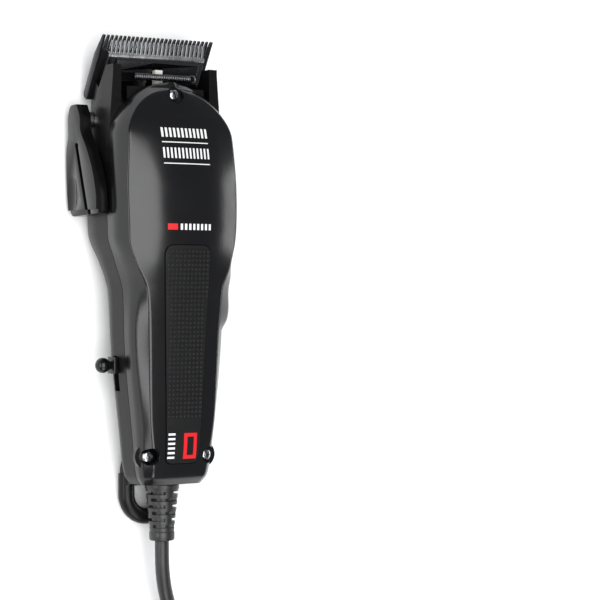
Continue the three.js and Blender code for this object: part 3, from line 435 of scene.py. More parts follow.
# %% Hank tie
HANK_TOP = LOW + (LAYERS - 1) * CORD_D + CORD_D / 2


def rounded_box(x0, x1, z0, z1, radius, steps=6):
    """A rounded rectangle as points, counter-clockwise from its lower right corner."""
    points = []
    for corner, (cx, cz) in enumerate([(x1, z0), (x1, z1), (x0, z1), (x0, z0)]):
        cx += radius if cx == x0 else -radius
        cz += radius if cz == z0 else -radius
        for step in range(steps + 1):
            angle = math.pi / 2 * (corner - 1 + step / steps)
            points.append((cx + radius * math.cos(angle), cz + radius * math.sin(angle)))
    return points


inner = rounded_box(HANK.x - COLUMNS[0] - 2.75, HANK.x + COLUMNS[0] + 2.75, 0.4, HANK_TOP + 0.1, 2.6)
outer = rounded_box(HANK.x - COLUMNS[0] - 3.25, HANK.x + COLUMNS[0] + 3.25, 0.06, HANK_TOP + 0.7, 3)
TIE_BACK, TIE_FRONT = -225.4, -221.4
tie_rows = [[(x, TIE_BACK, z), (x, TIE_FRONT, z), (u, TIE_FRONT, w), (u, TIE_BACK, w)]
            for (x, z), (u, w) in zip(inner, outer)]
band = loft([*tie_rows, tie_rows[0]], close_ends=False)
head = loft([[(-33.6, y, z) for y, z in rounded_box(-226.4, -220.4, 5, 10, 0.8, 3)],
             [(-31.8, y, z) for y, z in rounded_box(-226.4, -220.4, 5, 10, 0.8, 3)]])
tie_plastic, tree, shader = nodes_of("tie_plastic", "plug_shell")
shader.inputs["Base Color"].default_value = (0.02, 0.02, 0.022, 1)
shader.inputs["Roughness"].default_value = 0.42
bump(tree, shader, [noise(tree, 1500, 2)], 0.1, 0.0001)
store("hank_tie", *joined(band, head), "housing", tie_plastic, PLAIN)
print("tie round a hank", round(HANK_TOP, 1), "mm high")

# %% [markdown]
# ## Plug
# The plug is the round-pinned mains type. Its moulded shell widens from a ribbed sleeve to a flat body with
# finger waists, and stays within the CAD piece. The pins are nickel plated brass with rounded tips, so they
# are lathed. Sections of one rounded shape give the shell its even, moulded look.

# %% Plug shell and pins
plug_low, plug_high = (Vector(v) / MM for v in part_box("plug_body"))
plug_x, plug_z = (plug_low.x + plug_high.x) / 2, (plug_low.z + plug_high.z) / 2
plug_wide, plug_deep = plug_high.x - plug_low.x, plug_high.z - plug_low.z
plug_long = plug_high.y - plug_low.y
rows = []
for share, wide, deep in [
    (0, 0.20, 0.56), (0.01, 0.22, 0.6), (0.05, 0.222, 0.61), (0.06, 0.2, 0.54),
    (0.09, 0.2, 0.54), (0.1, 0.228, 0.62),
    (0.15, 0.234, 0.63), (0.16, 0.21, 0.56), (0.19, 0.212, 0.56), (0.2, 0.24, 0.64), (0.25, 0.25, 0.65),
    (0.26, 0.225, 0.58), (0.29, 0.23, 0.59), (0.3, 0.258, 0.66), (0.38, 0.28, 0.7), (0.46, 0.66, 0.86),
    (0.53, 0.83, 0.97), (0.62, 0.97, 1), (0.66, 0.985, 1), (0.7, 0.955, 1), (0.8, 0.95, 1), (0.86, 0.985, 1),
    (0.97, 1, 1), (0.99, 0.985, 0.97), (1, 0.95, 0.9),
]:
    y = plug_high.y - share * plug_long
    half_w, half_d = wide * plug_wide / 2, deep * plug_deep / 2
    corner = min(half_w, half_d) * 0.62
    rows.append([(x, y, z) for x, z in rounded_box(plug_x - half_w, plug_x + half_w, plug_z - half_d,
                                                   plug_z + half_d, corner, 6)])
plug_plastic, tree, shader = nodes_of("plug_plastic", "plug_shell")
shader.inputs["Base Color"].default_value = (0.014, 0.014, 0.015, 1)
tree.links.new(ramp(tree, noise(tree, 700), 0.3, 0.44), shader.inputs["Roughness"])
bump(tree, shader, [noise(tree, 3500, 3)], 0.15, 0.0001)
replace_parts(store("plug_shell", *loft(rows), "housing", plug_plastic, PLAIN, sharp=50), "plug_body")

nickel, tree, shader = nodes_of("nickel_plate", "plug_pin")
shader.inputs["Base Color"].default_value = (0.66, 0.64, 0.6, 1)
shader.inputs["Metallic"].default_value = 1
tree.links.new(ramp(tree, noise(tree, 500, 4, 0.6, (1, 0.1, 1)), 0.16, 0.34), shader.inputs["Roughness"])
for name in ("plug_pin_left", "plug_pin_right"):
    low, high = (Vector(v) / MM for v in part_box(name))
    radius, long = (high.x - low.x) / 2, high.y - low.y
    tip = [(radius, long - 1.6), (radius * 0.92, long - 0.8), (radius * 0.66, long - 0.2), (0, long)]
    profile = [(0, 0), (radius, 0), *tip]
    root = ((low.x + high.x) / 2, high.y, (low.z + high.z) / 2)
    place = PLAIN @ Matrix.Translation(root) @ Matrix.Rotation(math.pi / 2, 4, "X")
    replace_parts(store(name.replace("plug_", "nickel_"), *lathe(profile, 40), "housing", nickel, place), name)
print("plug", round(plug_long, 1), "mm long with", round(2 * radius, 1), "mm pins")

# %% [markdown]
# ## Strain relief
# A rubber sleeve keeps the cord from kinking where it enters the housing. It tapers over 21 mm, with six
# rows of short slots that leave two bridges each, turned a quarter between rows, and a flat collar at
# its tip. The slots are cut from a turned cone, because that is what the mould does.

# %% Strain relief


def cut(piece, part, place=TO_FRAME, operation="DIFFERENCE"):
    """Cut a closed shape out of a piece, or keep or add what they share."""
    mesh = bpy.data.meshes.new("cutter")
    mesh.from_pydata([tuple(place @ Vector(v)) for v in part[0]], [], part[1])
    cutter = bpy.data.objects.new("cutter", mesh)
    bpy.context.collection.objects.link(cutter)
    finish_surface(cutter, False)
    modifier = piece.modifiers.new("cut", "BOOLEAN")
    modifier.operation = operation
    modifier.object = cutter
    modifier.solver = "EXACT"
    bpy.context.view_layer.update()
    apply_modifiers(piece)
    bpy.data.objects.remove(cutter)
    finish_surface(piece)


def block(x0, x1, y0, y1, z0, z1):
    """A plain box, for cutting."""
    return prism([(x0, y0), (x1, y0), (x1, y1), (x0, y1)], z0, z1)


def rod(radius, low, high, centre=(0, 0, 0), turn=None, sides=40):
    """A cylinder from low to high along Z, turned and then moved."""
    shape = lathe([(0, low), (radius, low), (radius, high), (0, high)], sides)
    return moved(shape, Matrix.Translation(centre) @ (turn or Matrix.Identity(4)))


ALONG_Y = Matrix.Rotation(math.radians(90), 4, "X")
ALONG_X = Matrix.Rotation(math.radians(90), 4, "Y")
rubber, tree, shader = nodes_of("relief_rubber", "relief_rubber")
shader.inputs["Base Color"].default_value = (0.012, 0.012, 0.012, 1)
tree.links.new(ramp(tree, noise(tree, 800), 0.32, 0.46), shader.inputs["Roughness"])
bump(tree, shader, [noise(tree, 3000, 3)], 0.12, 0.0001)
RELIEF_LONG, RELIEF_ROOT, RELIEF_TIP = 21, 6.25, 4.3
relief_profile = [(0, -3.2), (3.4, -3.2), (3.4, 0.2), (5.9, 0.2),
                  (RELIEF_ROOT, 0.6), (RELIEF_ROOT, 1.9), (6.05, 2.3),
                  (RELIEF_TIP + 0.15, 17.6), (RELIEF_TIP + 0.35, 17.9), (RELIEF_TIP + 0.35, 20.4),
                  (RELIEF_TIP, 20.9), (2.8, RELIEF_LONG), (0, RELIEF_LONG)]
relief = store("relief_sleeve", *lathe(relief_profile, 56), "housing", rubber, TO_FRAME @ ALONG_Y)
slots = []
for row in range(6):
    y = -2.9 - row * 2.45
    for middle in ((0, 180) if row % 2 == 0 else (90, 270)):
        angles = [math.radians(middle - 74 + 148 * i / 20) for i in range(21)]
        corners = ((3.7, y - 1.2), (9, y - 1.2), (9, y), (3.7, y))
        slots.append(loft([[(r * math.cos(a), along_y, r * math.sin(a)) for r, along_y in corners]
                           for a in angles]))
cut(relief, joined(*slots))
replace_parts(relief, "strain_relief")
print("strain relief", len(relief.data.polygons), "faces")

# %% [markdown]
# ## The shells' shared profiles
# Both shells are skinned over one set of curves along the clipper: the seam's half-width and height, the
# crown's height, the crisp ridge that divides the front face from the side facet, the flank and the back.
# Each curve runs through a few places with slopes that never overshoot. One set of curves keeps the cover
# and the housing flush all the way round.

# %% Curves along the clipper, in its own millimetres
HEAD_END = 126
CROWN, APEX, CHEEK_END = 19.8, 145.8, 149.8
GAP = 0.3


def along(pairs, place):
    """A smooth curve through (place, value) pairs that doesn't overshoot them."""
    if place <= pairs[0][0]:
        return pairs[0][1]
    if place >= pairs[-1][0]:
        return pairs[-1][1]
    slopes = [(b[1] - a[1]) / (b[0] - a[0]) for a, b in zip(pairs, pairs[1:])]
    inner = [0 if a * b <= 0 else 2 * a * b / (a + b) for a, b in zip(slopes, slopes[1:])]
    tangents = [slopes[0], *inner, slopes[-1]]
    i = next(k for k, pair in enumerate(pairs) if pair[0] > place) - 1
    span = pairs[i + 1][0] - pairs[i][0]
    rise = pairs[i + 1][1] - pairs[i][1]
    t = (place - pairs[i][0]) / span
    bend = (tangents[i] + tangents[i + 1]) * span - 2 * rise
    lean = 3 * rise - (2 * tangents[i] + tangents[i + 1]) * span
    return pairs[i][1] + t * (tangents[i] * span + t * (lean + t * bend))


def softened(points, reaches, steps=6):
    """Round the inner corners of a line of points, each by its own reach."""
    points = [Vector(p) for p in points]
    out = [points[0]]
    for before, corner, after, reach in zip(points, points[1:], points[2:], reaches):
        reach = min(reach, (before - corner).length * 0.48, (after - corner).length * 0.48)
        start = corner + (before - corner).normalized() * reach
        end = corner + (after - corner).normalized() * reach
        if reach == 0:
            out.append(corner)
            continue
        for step in range(steps + 1):
            t = step / steps
            out.append(start * (1 - t) ** 2 + corner * 2 * t * (1 - t) + end * t * t)
    return [*out, points[-1]]


def crown_arc(y, end=APEX):
    t = max(0, (y - HEAD_END) / (end - HEAD_END))
    return math.sqrt(max(0.004, 1 - t ** 1.6))


def seam_half(y):
    return along([(0, 11.9), (3, 13.7), (9, 14.7), (14, 15.1), (57, 18.8), (68.55, 18.9), (81.75, 21.9),
                  (90, 24), (106.2, 24.3), (126, 23.7)], y) * crown_arc(y)


def seam_z(y):
    return along([(0, 5.5), (57, 5.5), (90, 3)], y)


def crown_z(y):
    return along([(0, 9.5), (3.5, 13.2), (8.5, 14.5), (14, 15.4), (57, 17.8), (83.4, 19.5), (93, 20.6),
                  (106.2, 20.2), (123, 17.4), (130.95, 15), (135.9, 12.8), (140.85, 10.6), (145.8, 8)], y)


def ridge_half(y):
    return along([(0, 9.8), (3.5, 10.8), (10, 11.4), (25, 13.2), (57, 14.3), (70.2, 15.4), (79.44, 19.4),
                  (89, 22.1), (106.2, 22.6), (126, 21.3)], y) * crown_arc(y, APEX - 2.4)


def ridge_z(y):
    drop = [(0, 0.5), (57, 1), (73.5, 1.6), (90, 4.6), (106.2, 4.6), (126, 2.2), (145.8, 0.6)]
    return crown_z(y) - along(drop, y)


def flank_half(y):
    swell = [(0, 0.2), (14, 0.1), (57, 0.2), (73.5, -0.6), (90, 0.5), (126, 0.2), (145.8, 0)]
    return seam_half(y) + along(swell, y)


def flank_swell(y):
    return along([(56, 0), (57.5, 1.2), (60, 2.9), (65, 3.8), (73.5, 3.9), (81.75, 1.4), (90, 0)], y)


def back_z(y):
    return -along([(0, 5.6), (4, 7.1), (18, 8.4), (49, 9.7), (60, 10.5), (70.86, 11.9), (78.45, 13.7),
                   (86.04, 17.3), (91.5, 19.3), (95, 19.5)], y)


def housing_half(y):
    return seam_half(y) if y < 118 else along([(118, seam_half(118)), (CHEEK_END, 21.7)], y)


def closed_section(y, right, left=None):
    back = [(-x, y, z) for x, z in (left or right)[1:-1][::-1]]
    return [*((x, y, z) for x, z in right), *back]


def cover_section(y, inset, steps=6):
    side = seam_half(y) - inset
    foot = seam_z(y) - 4 if inset > 0 else seam_z(y) + GAP / 2
    middle = seam_z(y) + 0.55 * (ridge_z(y) - seam_z(y))

    def half(swell):
        return softened([
            (0, foot), (max(side, 0.6), foot), (max(flank_half(y) + swell - inset, 0.55), middle),
            (max(ridge_half(y) - inset * 0.7, 0.4), ridge_z(y) - inset),
            (max(ridge_half(y) - inset, 0.3) * 0.5, crown_z(y) - inset - 0.15 * (crown_z(y) - ridge_z(y))),
            (0, crown_z(y) - inset),
        ], [0, 3.2, 0.7, 5], steps)
    return closed_section(y, half(flank_swell(y)), half(0))


def housing_section(y, inset, steps=6):
    side = housing_half(y) - inset
    top = seam_z(y) + 3 if inset > 0 else seam_z(y) - GAP / 2
    deep = back_z(y) + inset * 2.6 / 2.4
    return closed_section(y, softened([
        (0, deep), (side * 0.55, deep), (side * 0.9, deep + 1.2),
        (side + 0.3, deep * 0.42), (side, top), (0, top),
    ], [5, 5, 4, 0], steps))


def cover_top(x, y, inset=0):
    """Height of the cover's front face at a place."""
    section = cover_section(y, inset)
    half = [(abs(px), pz) for px, _, pz in section[:len(section) // 2 + 1]]
    for (x1, z1), (x0, z0) in zip(half, half[1:]):
        if x0 <= abs(x) <= x1 and pz_above(z0, z1, y):
            return z0 + (z1 - z0) * (abs(x) - x0) / max(x1 - x0, 1e-6)
    return crown_z(y) - inset


def pz_above(z0, z1, y):
    return min(z0, z1) > seam_z(y) + 1


def spaced(low, high, step):
    count = math.ceil((high - low) / step)
    return [low + (high - low) * i / count for i in range(count + 1)]


COVER_STATIONS = [*spaced(0, 14, 0.7), *spaced(15, HEAD_END, 1.1),
                  *(HEAD_END + CROWN * math.sin(math.pi / 2 * i / 40) for i in range(1, 41))]
HOUSING_STATIONS = [*spaced(0, 12, 0.8), *spaced(13, CHEEK_END + 2, 1.3)]
print("curves give a head", round(2 * seam_half(106), 1), "mm wide",
      "and a grip", round(2 * seam_half(57), 1), "mm wide")

# %% [markdown]
# ## Front cover
# The cover is moulded in gloss black ABS. Its side facets meet the front face in a crisp ridge, and
# together they catch the lamps as long, clean bands. Fine stations along the length keep those bands
# smooth. The wells for the screws and the pocket for the grip insert are cut afterwards, as a mould's
# cores would leave them, and the inside is hollow.

# %% Gloss shell material and the front cover
gloss, tree, shader = nodes_of("gloss_shell", "gloss_shell")
shader.inputs["Base Color"].default_value = (0.0035, 0.0035, 0.004, 1)
tree.links.new(ramp(tree, noise(tree, 60, 3), 0.19, 0.25), shader.inputs["Roughness"])
shader.inputs["Specular IOR Level"].default_value = 0.5
bump(tree, shader, [noise(tree, 35, 2)], 0.03, 0.0003)

SCREWS = [("cover_screw_top", 0, 140.9, crown_z(140.9) - 3.1), ("cover_screw_left", -12, 10.6, 9.8),
          ("cover_screw_right", 12, 10.6, 9.8)]
cover = store("cover_shell", *loft([cover_section(y, 0) for y in COVER_STATIONS]), "housing", gloss)
inside = [y for y in COVER_STATIONS if 3 <= y <= 134.9]
cut(cover, loft([cover_section(y, 2.2) for y in inside]))
wells = [rod(3.1, floor_z, 30, (x, y, 0)) for _, x, y, floor_z in SCREWS]
seats = [rod(4.6, max(floor_z - 1.6, seam_z(y) + GAP), floor_z, (x, y, 0)) for _, x, y, floor_z in SCREWS]


def shape_of(piece):
    """A piece's points in the frame, and its faces."""
    bpy.context.view_layer.update()
    return ([tuple(piece.matrix_world @ v.co) for v in piece.data.vertices],
            [tuple(p.vertices) for p in piece.data.polygons])


def insert_outline(grow):
    corners = [(0, 8 - grow), (6.6 + grow, 8 - grow), (9.4 + grow, 86.4 + grow), (0, 86.4 + grow)]
    half = softened(corners, [2.6, 4], 10)
    return [*((x, y) for x, y in half), *((-x, y) for x, y in half[1:-1][::-1])]


pocket_rows = [cover_section(y, 1.1) for y in COVER_STATIONS if y < 100]
pocket = store("pocket", *prism(insert_outline(GAP), 5, 40), "housing", gloss)
cut(pocket, loft(pocket_rows))
cut(cover, shape_of(pocket), Matrix.Identity(4))
bpy.data.objects.remove(pocket)
cut(cover, joined(*seats), operation="UNION")
cut(cover, joined(*wells))
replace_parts(cover, "front_cover")
print("cover", len(cover.data.polygons), "faces")

# %% [markdown]
# ## Rear housing
# The rear shell is satin black, so that the hand doesn't slip. It flares at the head, where it has a flat
# to lie on, a sloping seat for the blades and a tunnel for the motor's arm. It is skinned on the same
# curves as the cover, hollowed, and then cut by the same blade plane that the blade set uses.

# %% Rear housing
satin, tree, shader = nodes_of("satin_shell", "satin_shell")
shader.inputs["Base Color"].default_value = (0.003, 0.003, 0.0032, 1)
shader.inputs["Specular IOR Level"].default_value = 0.22
tree.links.new(ramp(tree, noise(tree, 900), 0.3, 0.4), shader.inputs["Roughness"])
bump(tree, shader, [noise(tree, 5200, 3)], 0.12, 0.00008)
BLADE = TO_FRAME @ BLADE_TO_OWN
housing = store("housing_shell", *loft([housing_section(y, 0) for y in HOUSING_STATIONS]), "housing", satin)
cavity = [y for y in HOUSING_STATIONS if 4 <= y <= 133.9]
cut(housing, loft([housing_section(y, 2.4) for y in cavity]))
REST_SPOT = Vector((0, 104, -19))
below = [(-60, REST_SPOT.z), (200, REST_SPOT.z), (200, -60), (-60, -60)]
lean = Matrix.Rotation(-math.asin(AHEAD.z), 4, "X")
lean_about_spot = Matrix.Translation(REST_SPOT) @ lean @ Matrix.Translation(-REST_SPOT)
rest = moved(prism(below, -60, 60, "x"), lean_about_spot)
cut(housing, rest)
for number, room in enumerate([
    block(-60, 60, -60, 40, -60, 0.15), block(-60, 60, -18.4, 40, -60, 5),
    block(-18.4, 18.4, -18.4, 40, -60, 60), block(-8.3, 8.3, -34, 0, 3.4, 12),
]):
    tool = store("tool", *moved(room, BLADE_TO_OWN), "housing", satin)
    cut(tool, block(-60, 60, 126, 200, -60, 60), operation="INTERSECT")
    cut(housing, shape_of(tool), Matrix.Identity(4))
    bpy.data.objects.remove(tool)
cut(housing, block(-16, 16, 134.9, 144.1, -0.6, 2.85), operation="UNION")
cut(housing, block(-9, 9, 132.9, 200, -12, -0.6))
cut(housing, rod(3.1, -60, 0, (0, 132.5, -12.3), ALONG_X))
cut(housing, block(-60, -13.2, 33.8, 46.6, -3.9, -0.1))
cut(housing, rod(2.3, 0, 60, (0, 51.5, -3.25), ALONG_X))
cut(housing, rod(3.8, -8, 12, turn=ALONG_Y))
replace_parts(housing, "rear_housing")
print("housing", len(housing.data.polygons), "faces")

# %% [markdown]
# ## Grip insert
# The insert is soft rubber, matt and slightly raised, with rows of small square-set dots that stop short
# of a smooth panel at the tail. The dots are low domes on a 1.6 mm grid, placed by a loop that asks the
# cover's curves for the height under each one.

# %% Grip insert and its dots
grip_rubber, tree, shader = nodes_of("soft_grip", "soft_grip")
shader.inputs["Base Color"].default_value = (0.004, 0.004, 0.0042, 1)
shader.inputs["Specular IOR Level"].default_value = 0.3
tree.links.new(ramp(tree, noise(tree, 1200), 0.38, 0.5), shader.inputs["Roughness"])
bump(tree, shader, [noise(tree, 6000, 3)], 0.2, 0.00006)
insert = store("grip_rubber", *prism(insert_outline(0), 5, 40), "housing", grip_rubber)
cut(insert, loft([cover_section(y, -0.35) for y in COVER_STATIONS if y < 100]), operation="INTERSECT")
cut(insert, loft([cover_section(y, 0.8) for y in COVER_STATIONS if y < 100]))
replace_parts(insert, "grip_insert")
DOT_PITCH, DOT_RADIUS, DOT_HIGH = 1.6, 0.56, 0.42
dots = []
for row in range(38):
    y = 84.3 - row * DOT_PITCH
    half_width = 6.6 + (9.4 - 6.6) * (y - 8) / 78.4
    for column in range(-5, 6):
        x = column * DOT_PITCH
        if abs(x) + DOT_RADIUS + 0.15 < half_width:
            base = cover_top(x, y, -0.35)
            rows = [(DOT_RADIUS, -0.1), (DOT_RADIUS * 0.93, 0.6 * DOT_HIGH),
                    (DOT_RADIUS * 0.6, DOT_HIGH), (0, 1.08 * DOT_HIGH)]
            dots.append(moved(lathe(rows, 10), Matrix.Translation((x, y, base))))
store("grip_dots", *joined(*dots), "housing", grip_rubber)
print(len(dots), "dots")

# %% [markdown]
# ## Plain printed marks
# Plain bars and lines stand where a maker's lettering would be: white lines and rows of short strokes on
# the head, a red bar with more strokes above the insert, and a red frame beside a column of strokes at its
# tail. Each is a thin film that follows the cover's curve.

# %% Printed marks
white_ink, tree, shader = nodes_of("white_ink", "gloss_shell")
shader.inputs["Base Color"].default_value = (0.75, 0.75, 0.75, 1)
tree.links.new(ramp(tree, noise(tree, 2500), 0.35, 0.5), shader.inputs["Roughness"])
red_ink, tree, shader = nodes_of("red_ink", "gloss_shell")
shader.inputs["Base Color"].default_value = (0.62, 0.008, 0.012, 1)
tree.links.new(ramp(tree, noise(tree, 2500), 0.32, 0.45), shader.inputs["Roughness"])


def film(x0, x1, y0, y1, lift):
    """A thin closed film on the cover between two corners."""
    across, down = spaced(x0, x1, 0.8), spaced(y0, y1, 0.8)
    rows = []
    for y in down:
        tops = [(x, y, cover_top(x, y) + lift + 0.05) for x in across]
        lows = [(x, y, cover_top(x, y) + lift - 0.05) for x in across[::-1]]
        rows.append([*tops, *lows])
    return loft(rows)


white = [film(-9.5, 9.5, 123.2, 123.55, 0), film(-9.5, 9.5, 115.5, 115.85, 0)]
white += [film(x, x + 0.85, 125.2, 128.6, 0) for x in spaced(-9.4, 8.6, 1.64)]
white += [film(x, x + 0.7, 117.6, 121.4, 0) for x in spaced(-9.4, 8.8, 1.52)]
white += [film(x, x + 0.9, 91.9, 94.1, 0) for x in spaced(-3.8, 8, 1.7)]
white += [film(-6.3, -3.5, y, y + 0.75, 0.35) for y in spaced(9.8, 18.2, 1.68)]
store("white_marks", *joined(*white), "housing", white_ink)
red = [film(-8.8, -4.9, 91.9, 94.1, 0), film(0.1, 1.5, 9.6, 18.9, 0.35), film(4.2, 5.5, 9.6, 18.9, 0.35),
       film(1.5, 4.2, 9.6, 10.9, 0.35), film(1.5, 4.2, 17.6, 18.9, 0.35)]
store("red_marks", *joined(*red), "housing", red_ink)
print(len(white) + len(red), "marks")

# %% [markdown]
# ## Cover screws
# Three bright Phillips screws hold the shells. The head is a low dome on a short skirt, and the recess is
# a cross whose arms narrow towards the bottom, so it is cut with two tapered wedges.

# %% Screws
chrome, tree, shader = nodes_of("chrome_screw", "chrome_screw")
shader.inputs["Base Color"].default_value = (0.5, 0.51, 0.52, 1)
shader.inputs["Metallic"].default_value = 1
tree.links.new(ramp(tree, noise(tree, 700), 0.1, 0.24), shader.inputs["Roughness"])


def phillips(name, node, place, head, shank, long, body="housing"):
    """A Phillips screw with its head's seat at the place."""
    angles = [math.pi / 2 * i / 8 for i in range(8)]
    dome = [(head * math.cos(a) ** 0.6, 0.6 + 1.15 * math.sin(a)) for a in angles]
    thread = [(0, -long), (shank * 0.6, -long), (shank, -long + 0.9), (shank, 0)]
    profile = [*thread, (head, 0), *dome, (0, 1.75)]
    screw = store(name, *lathe(profile, 40), body, chrome, place)
    for turn in (0, math.pi / 2):
        wedge = loft([[(x * s * 0.62 * head, y * s * 0.34, z) for x, y in SQUARE]
                      for z, s in ((0.35, 0.45), (1.9, 1.05))])
        cut(screw, moved(wedge, Matrix.Rotation(turn + 0.3, 4, "Z")), place)
    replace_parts(screw, node)
    return screw


for node, x, y, floor_z in SCREWS:
    long = floor_z - 0.2 if x == 0 else floor_z + 2
    seat = TO_FRAME @ Matrix.Translation((x, y, floor_z + GAP))
    phillips(node.replace("cover", "phillips"), node, seat, 2.2, 1.3, long)
print("screws", len(SCREWS))

# %% [markdown]
# ## Blade set
# The wide lower blade is blackened steel and stays still. The moving blade is bright ground steel with the
# same fine pitch, 1.72 mm, and a blackened body behind the teeth. Both are wedges with straight gaps
# between the teeth, so each is one profile drawn across, with all its gaps cut at once. A small bevel lets
# the ground edges catch the light.

# %% Blades
black_steel, tree, shader = nodes_of("black_blade", "black_blade")
shader.inputs["Metallic"].default_value = 0.75
grain = noise(tree, 300, 5, 0.7, (0.06, 1, 1))
worn = blend_colours(tree, edge_wear(tree, 0.0003), (0.02, 0.02, 0.022), (0.2, 0.2, 0.21))
tree.links.new(worn, shader.inputs["Base Color"])
tree.links.new(ramp(tree, grain, 0.26, 0.42), shader.inputs["Roughness"])
bump(tree, shader, [grain], 0.08, 0.00005)
bright_steel, tree, shader = nodes_of("cutter_steel", "cutter_steel")
shader.inputs["Metallic"].default_value = 1
grain = noise(tree, 260, 5, 0.7, (1, 0.05, 0.05))
tree.links.new(blend_colours(tree, grain, (0.42, 0.43, 0.44), (0.68, 0.69, 0.7)), shader.inputs["Base Color"])
tree.links.new(ramp(tree, grain, 0.2, 0.36), shader.inputs["Roughness"])
bump(tree, shader, [grain], 0.15, 0.00006)
TOOTH_PITCH = 1.72


def tooth_gaps(width, back, front):
    """Every gap between the teeth across a width, each with a rounded root."""
    count = 2 * math.floor((width / TOOTH_PITCH - 1) / 2) + 1
    gaps = []
    angles = [math.pi * (1 + k / 6) for k in range(7)]
    for number in range(count + 1):
        x = (number - count / 2) * TOOTH_PITCH
        root = [(x + 0.42 * math.cos(a), back + 0.42 + 0.42 * math.sin(a)) for a in angles]
        gaps.append(prism([*root, (x + 0.46, front), (x - 0.46, front)], -20, 20))
    return joined(*gaps)


def bevelled(piece, width, segments=2, angle=40):
    """Round a piece's crisp edges a little."""
    modifier = piece.modifiers.new("bevel", "BEVEL")
    modifier.width = width * MM
    modifier.segments = segments
    modifier.limit_method = "ANGLE"
    modifier.angle_limit = math.radians(angle)
    bpy.context.view_layer.update()
    apply_modifiers(piece)
    piece.data.shade_smooth()
    piece.data.set_sharp_from_angle(angle=math.radians(45))
    return piece


lower_profile = [(-26, -0.15), (0, -0.15), (0, -0.9), (-9, -3.2), (-24.8, -3.2), (-26, -2.4)]
lower = store("lower_blade", *prism(lower_profile, -23, 23, "x"), "housing", black_steel, BLADE)
cut(lower, tooth_gaps(46, -5.6, 1), BLADE)
cut(lower, joined(*(rod(1.8, -9, 9, (x, -21.5, 0)) for x in (-14, 14))), BLADE)
cut(lower, joined(*(rod(2.9, -9, -1.6, (x, -21.5, 0)) for x in (-14, 14))), BLADE)
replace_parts(bevelled(lower, 0.12), "fixed_blade")
moving_profile = [(-16.4, 0.15), (-1.4, 0.15), (-1.4, 0.75), (-7.2, 2.45), (-16.4, 2.45)]
moving = store("moving_blade", *prism(moving_profile, -20, 20, "x"), "cutter", bright_steel, BLADE)
cut(moving, tooth_gaps(40, -6, 1), BLADE)
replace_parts(bevelled(moving, 0.1), "cutter_blade")
moving.data.materials.append(black_steel)
to_blade = BLADE.inverted() @ moving.matrix_world
BRIGHT_FROM = -7.3
for face in moving.data.polygons:
    face.material_index = 1 if (to_blade @ face.center).y < BRIGHT_FROM else 0
print("blades with teeth", TOOTH_PITCH, "mm apart")

# %% [markdown]
# ## Guide bar and tension spring
# A black nylon bar carries the moving blade and takes the arm's finger in its notch. Behind it, a long
# close-wound spring keeps the blades pressed together. The spring is a real helix, swept from a loop,
# with a straight hooked end on the right.

# %% Guide bar with its notch, and tension spring
nylon, tree, shader = nodes_of("guide_nylon", "lever_plastic")
shader.inputs["Base Color"].default_value = (0.012, 0.012, 0.013, 1)
tree.links.new(ramp(tree, noise(tree, 900), 0.22, 0.36), shader.inputs["Roughness"])
bump(tree, shader, [noise(tree, 4000, 3)], 0.1, 0.00006)
guide_profile = [(-12.7, 2.75), (-7, 2.75), (-7, 3.6), (-7.6, 4.75), (-11.9, 4.75), (-12.7, 3.9)]
guide = store("guide_bar", *prism(guide_profile, -17, 17, "x"), "cutter", nylon, BLADE)
cut(guide, block(-2.2, 2.2, -13.7, -8, -9, 20), BLADE)
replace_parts(bevelled(guide, 0.35, 3), "cutter_guide")

spring_wire, tree, shader = nodes_of("spring_wire", "spring_steel")
shader.inputs["Base Color"].default_value = (0.16, 0.16, 0.17, 1)
shader.inputs["Metallic"].default_value = 1
tree.links.new(ramp(tree, noise(tree, 1800), 0.22, 0.38), shader.inputs["Roughness"])


def helix(radius, wire, start, end, turns, sides=8):
    """A round wire wound along X between two places."""
    count = int(turns * 14)
    points = [(start + (end - start) * i / count, radius * math.cos(math.tau * turns * i / count),
               radius * math.sin(math.tau * turns * i / count)) for i in range(count + 1)]
    return sweep(points, wire / 2, sides)


low, high = (TO_FRAME.inverted() @ Vector(v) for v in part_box("cutter_spring"))
middle = Vector((0, (low.y + high.y) / 2, (low.z + high.z) / 2))
spring = moved(helix(1.0, 0.55, -11.4, 11.4, 30), Matrix.Translation(middle))
hook_line = [(x, middle.y + y, middle.z)
             for x, y in ((11.4, 1.1), (12.6, 1.2), (13.6, 0.4), (13.4, -0.9), (12.2, -1.3))]
hook = sweep(smooth_line(hook_line, 4), 0.31, 8)
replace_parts(store("tension_spring", *joined(spring, hook), "taper_carriage", spring_wire, sharp=60),
            "cutter_spring")
print("tension spring at", tuple(round(v, 1) for v in middle))

# %% [markdown]
# ## Taper lever
# The thumb lever turns the eccentric shaft that shifts the moving blade. It is a broad moulded paddle with
# a deep diagonal groove between its two leaves and a shallow dish for the thumb. The outline is drawn
# from above the shaft's axis, raised to its thickness, and then hollowed and softened at the edges.

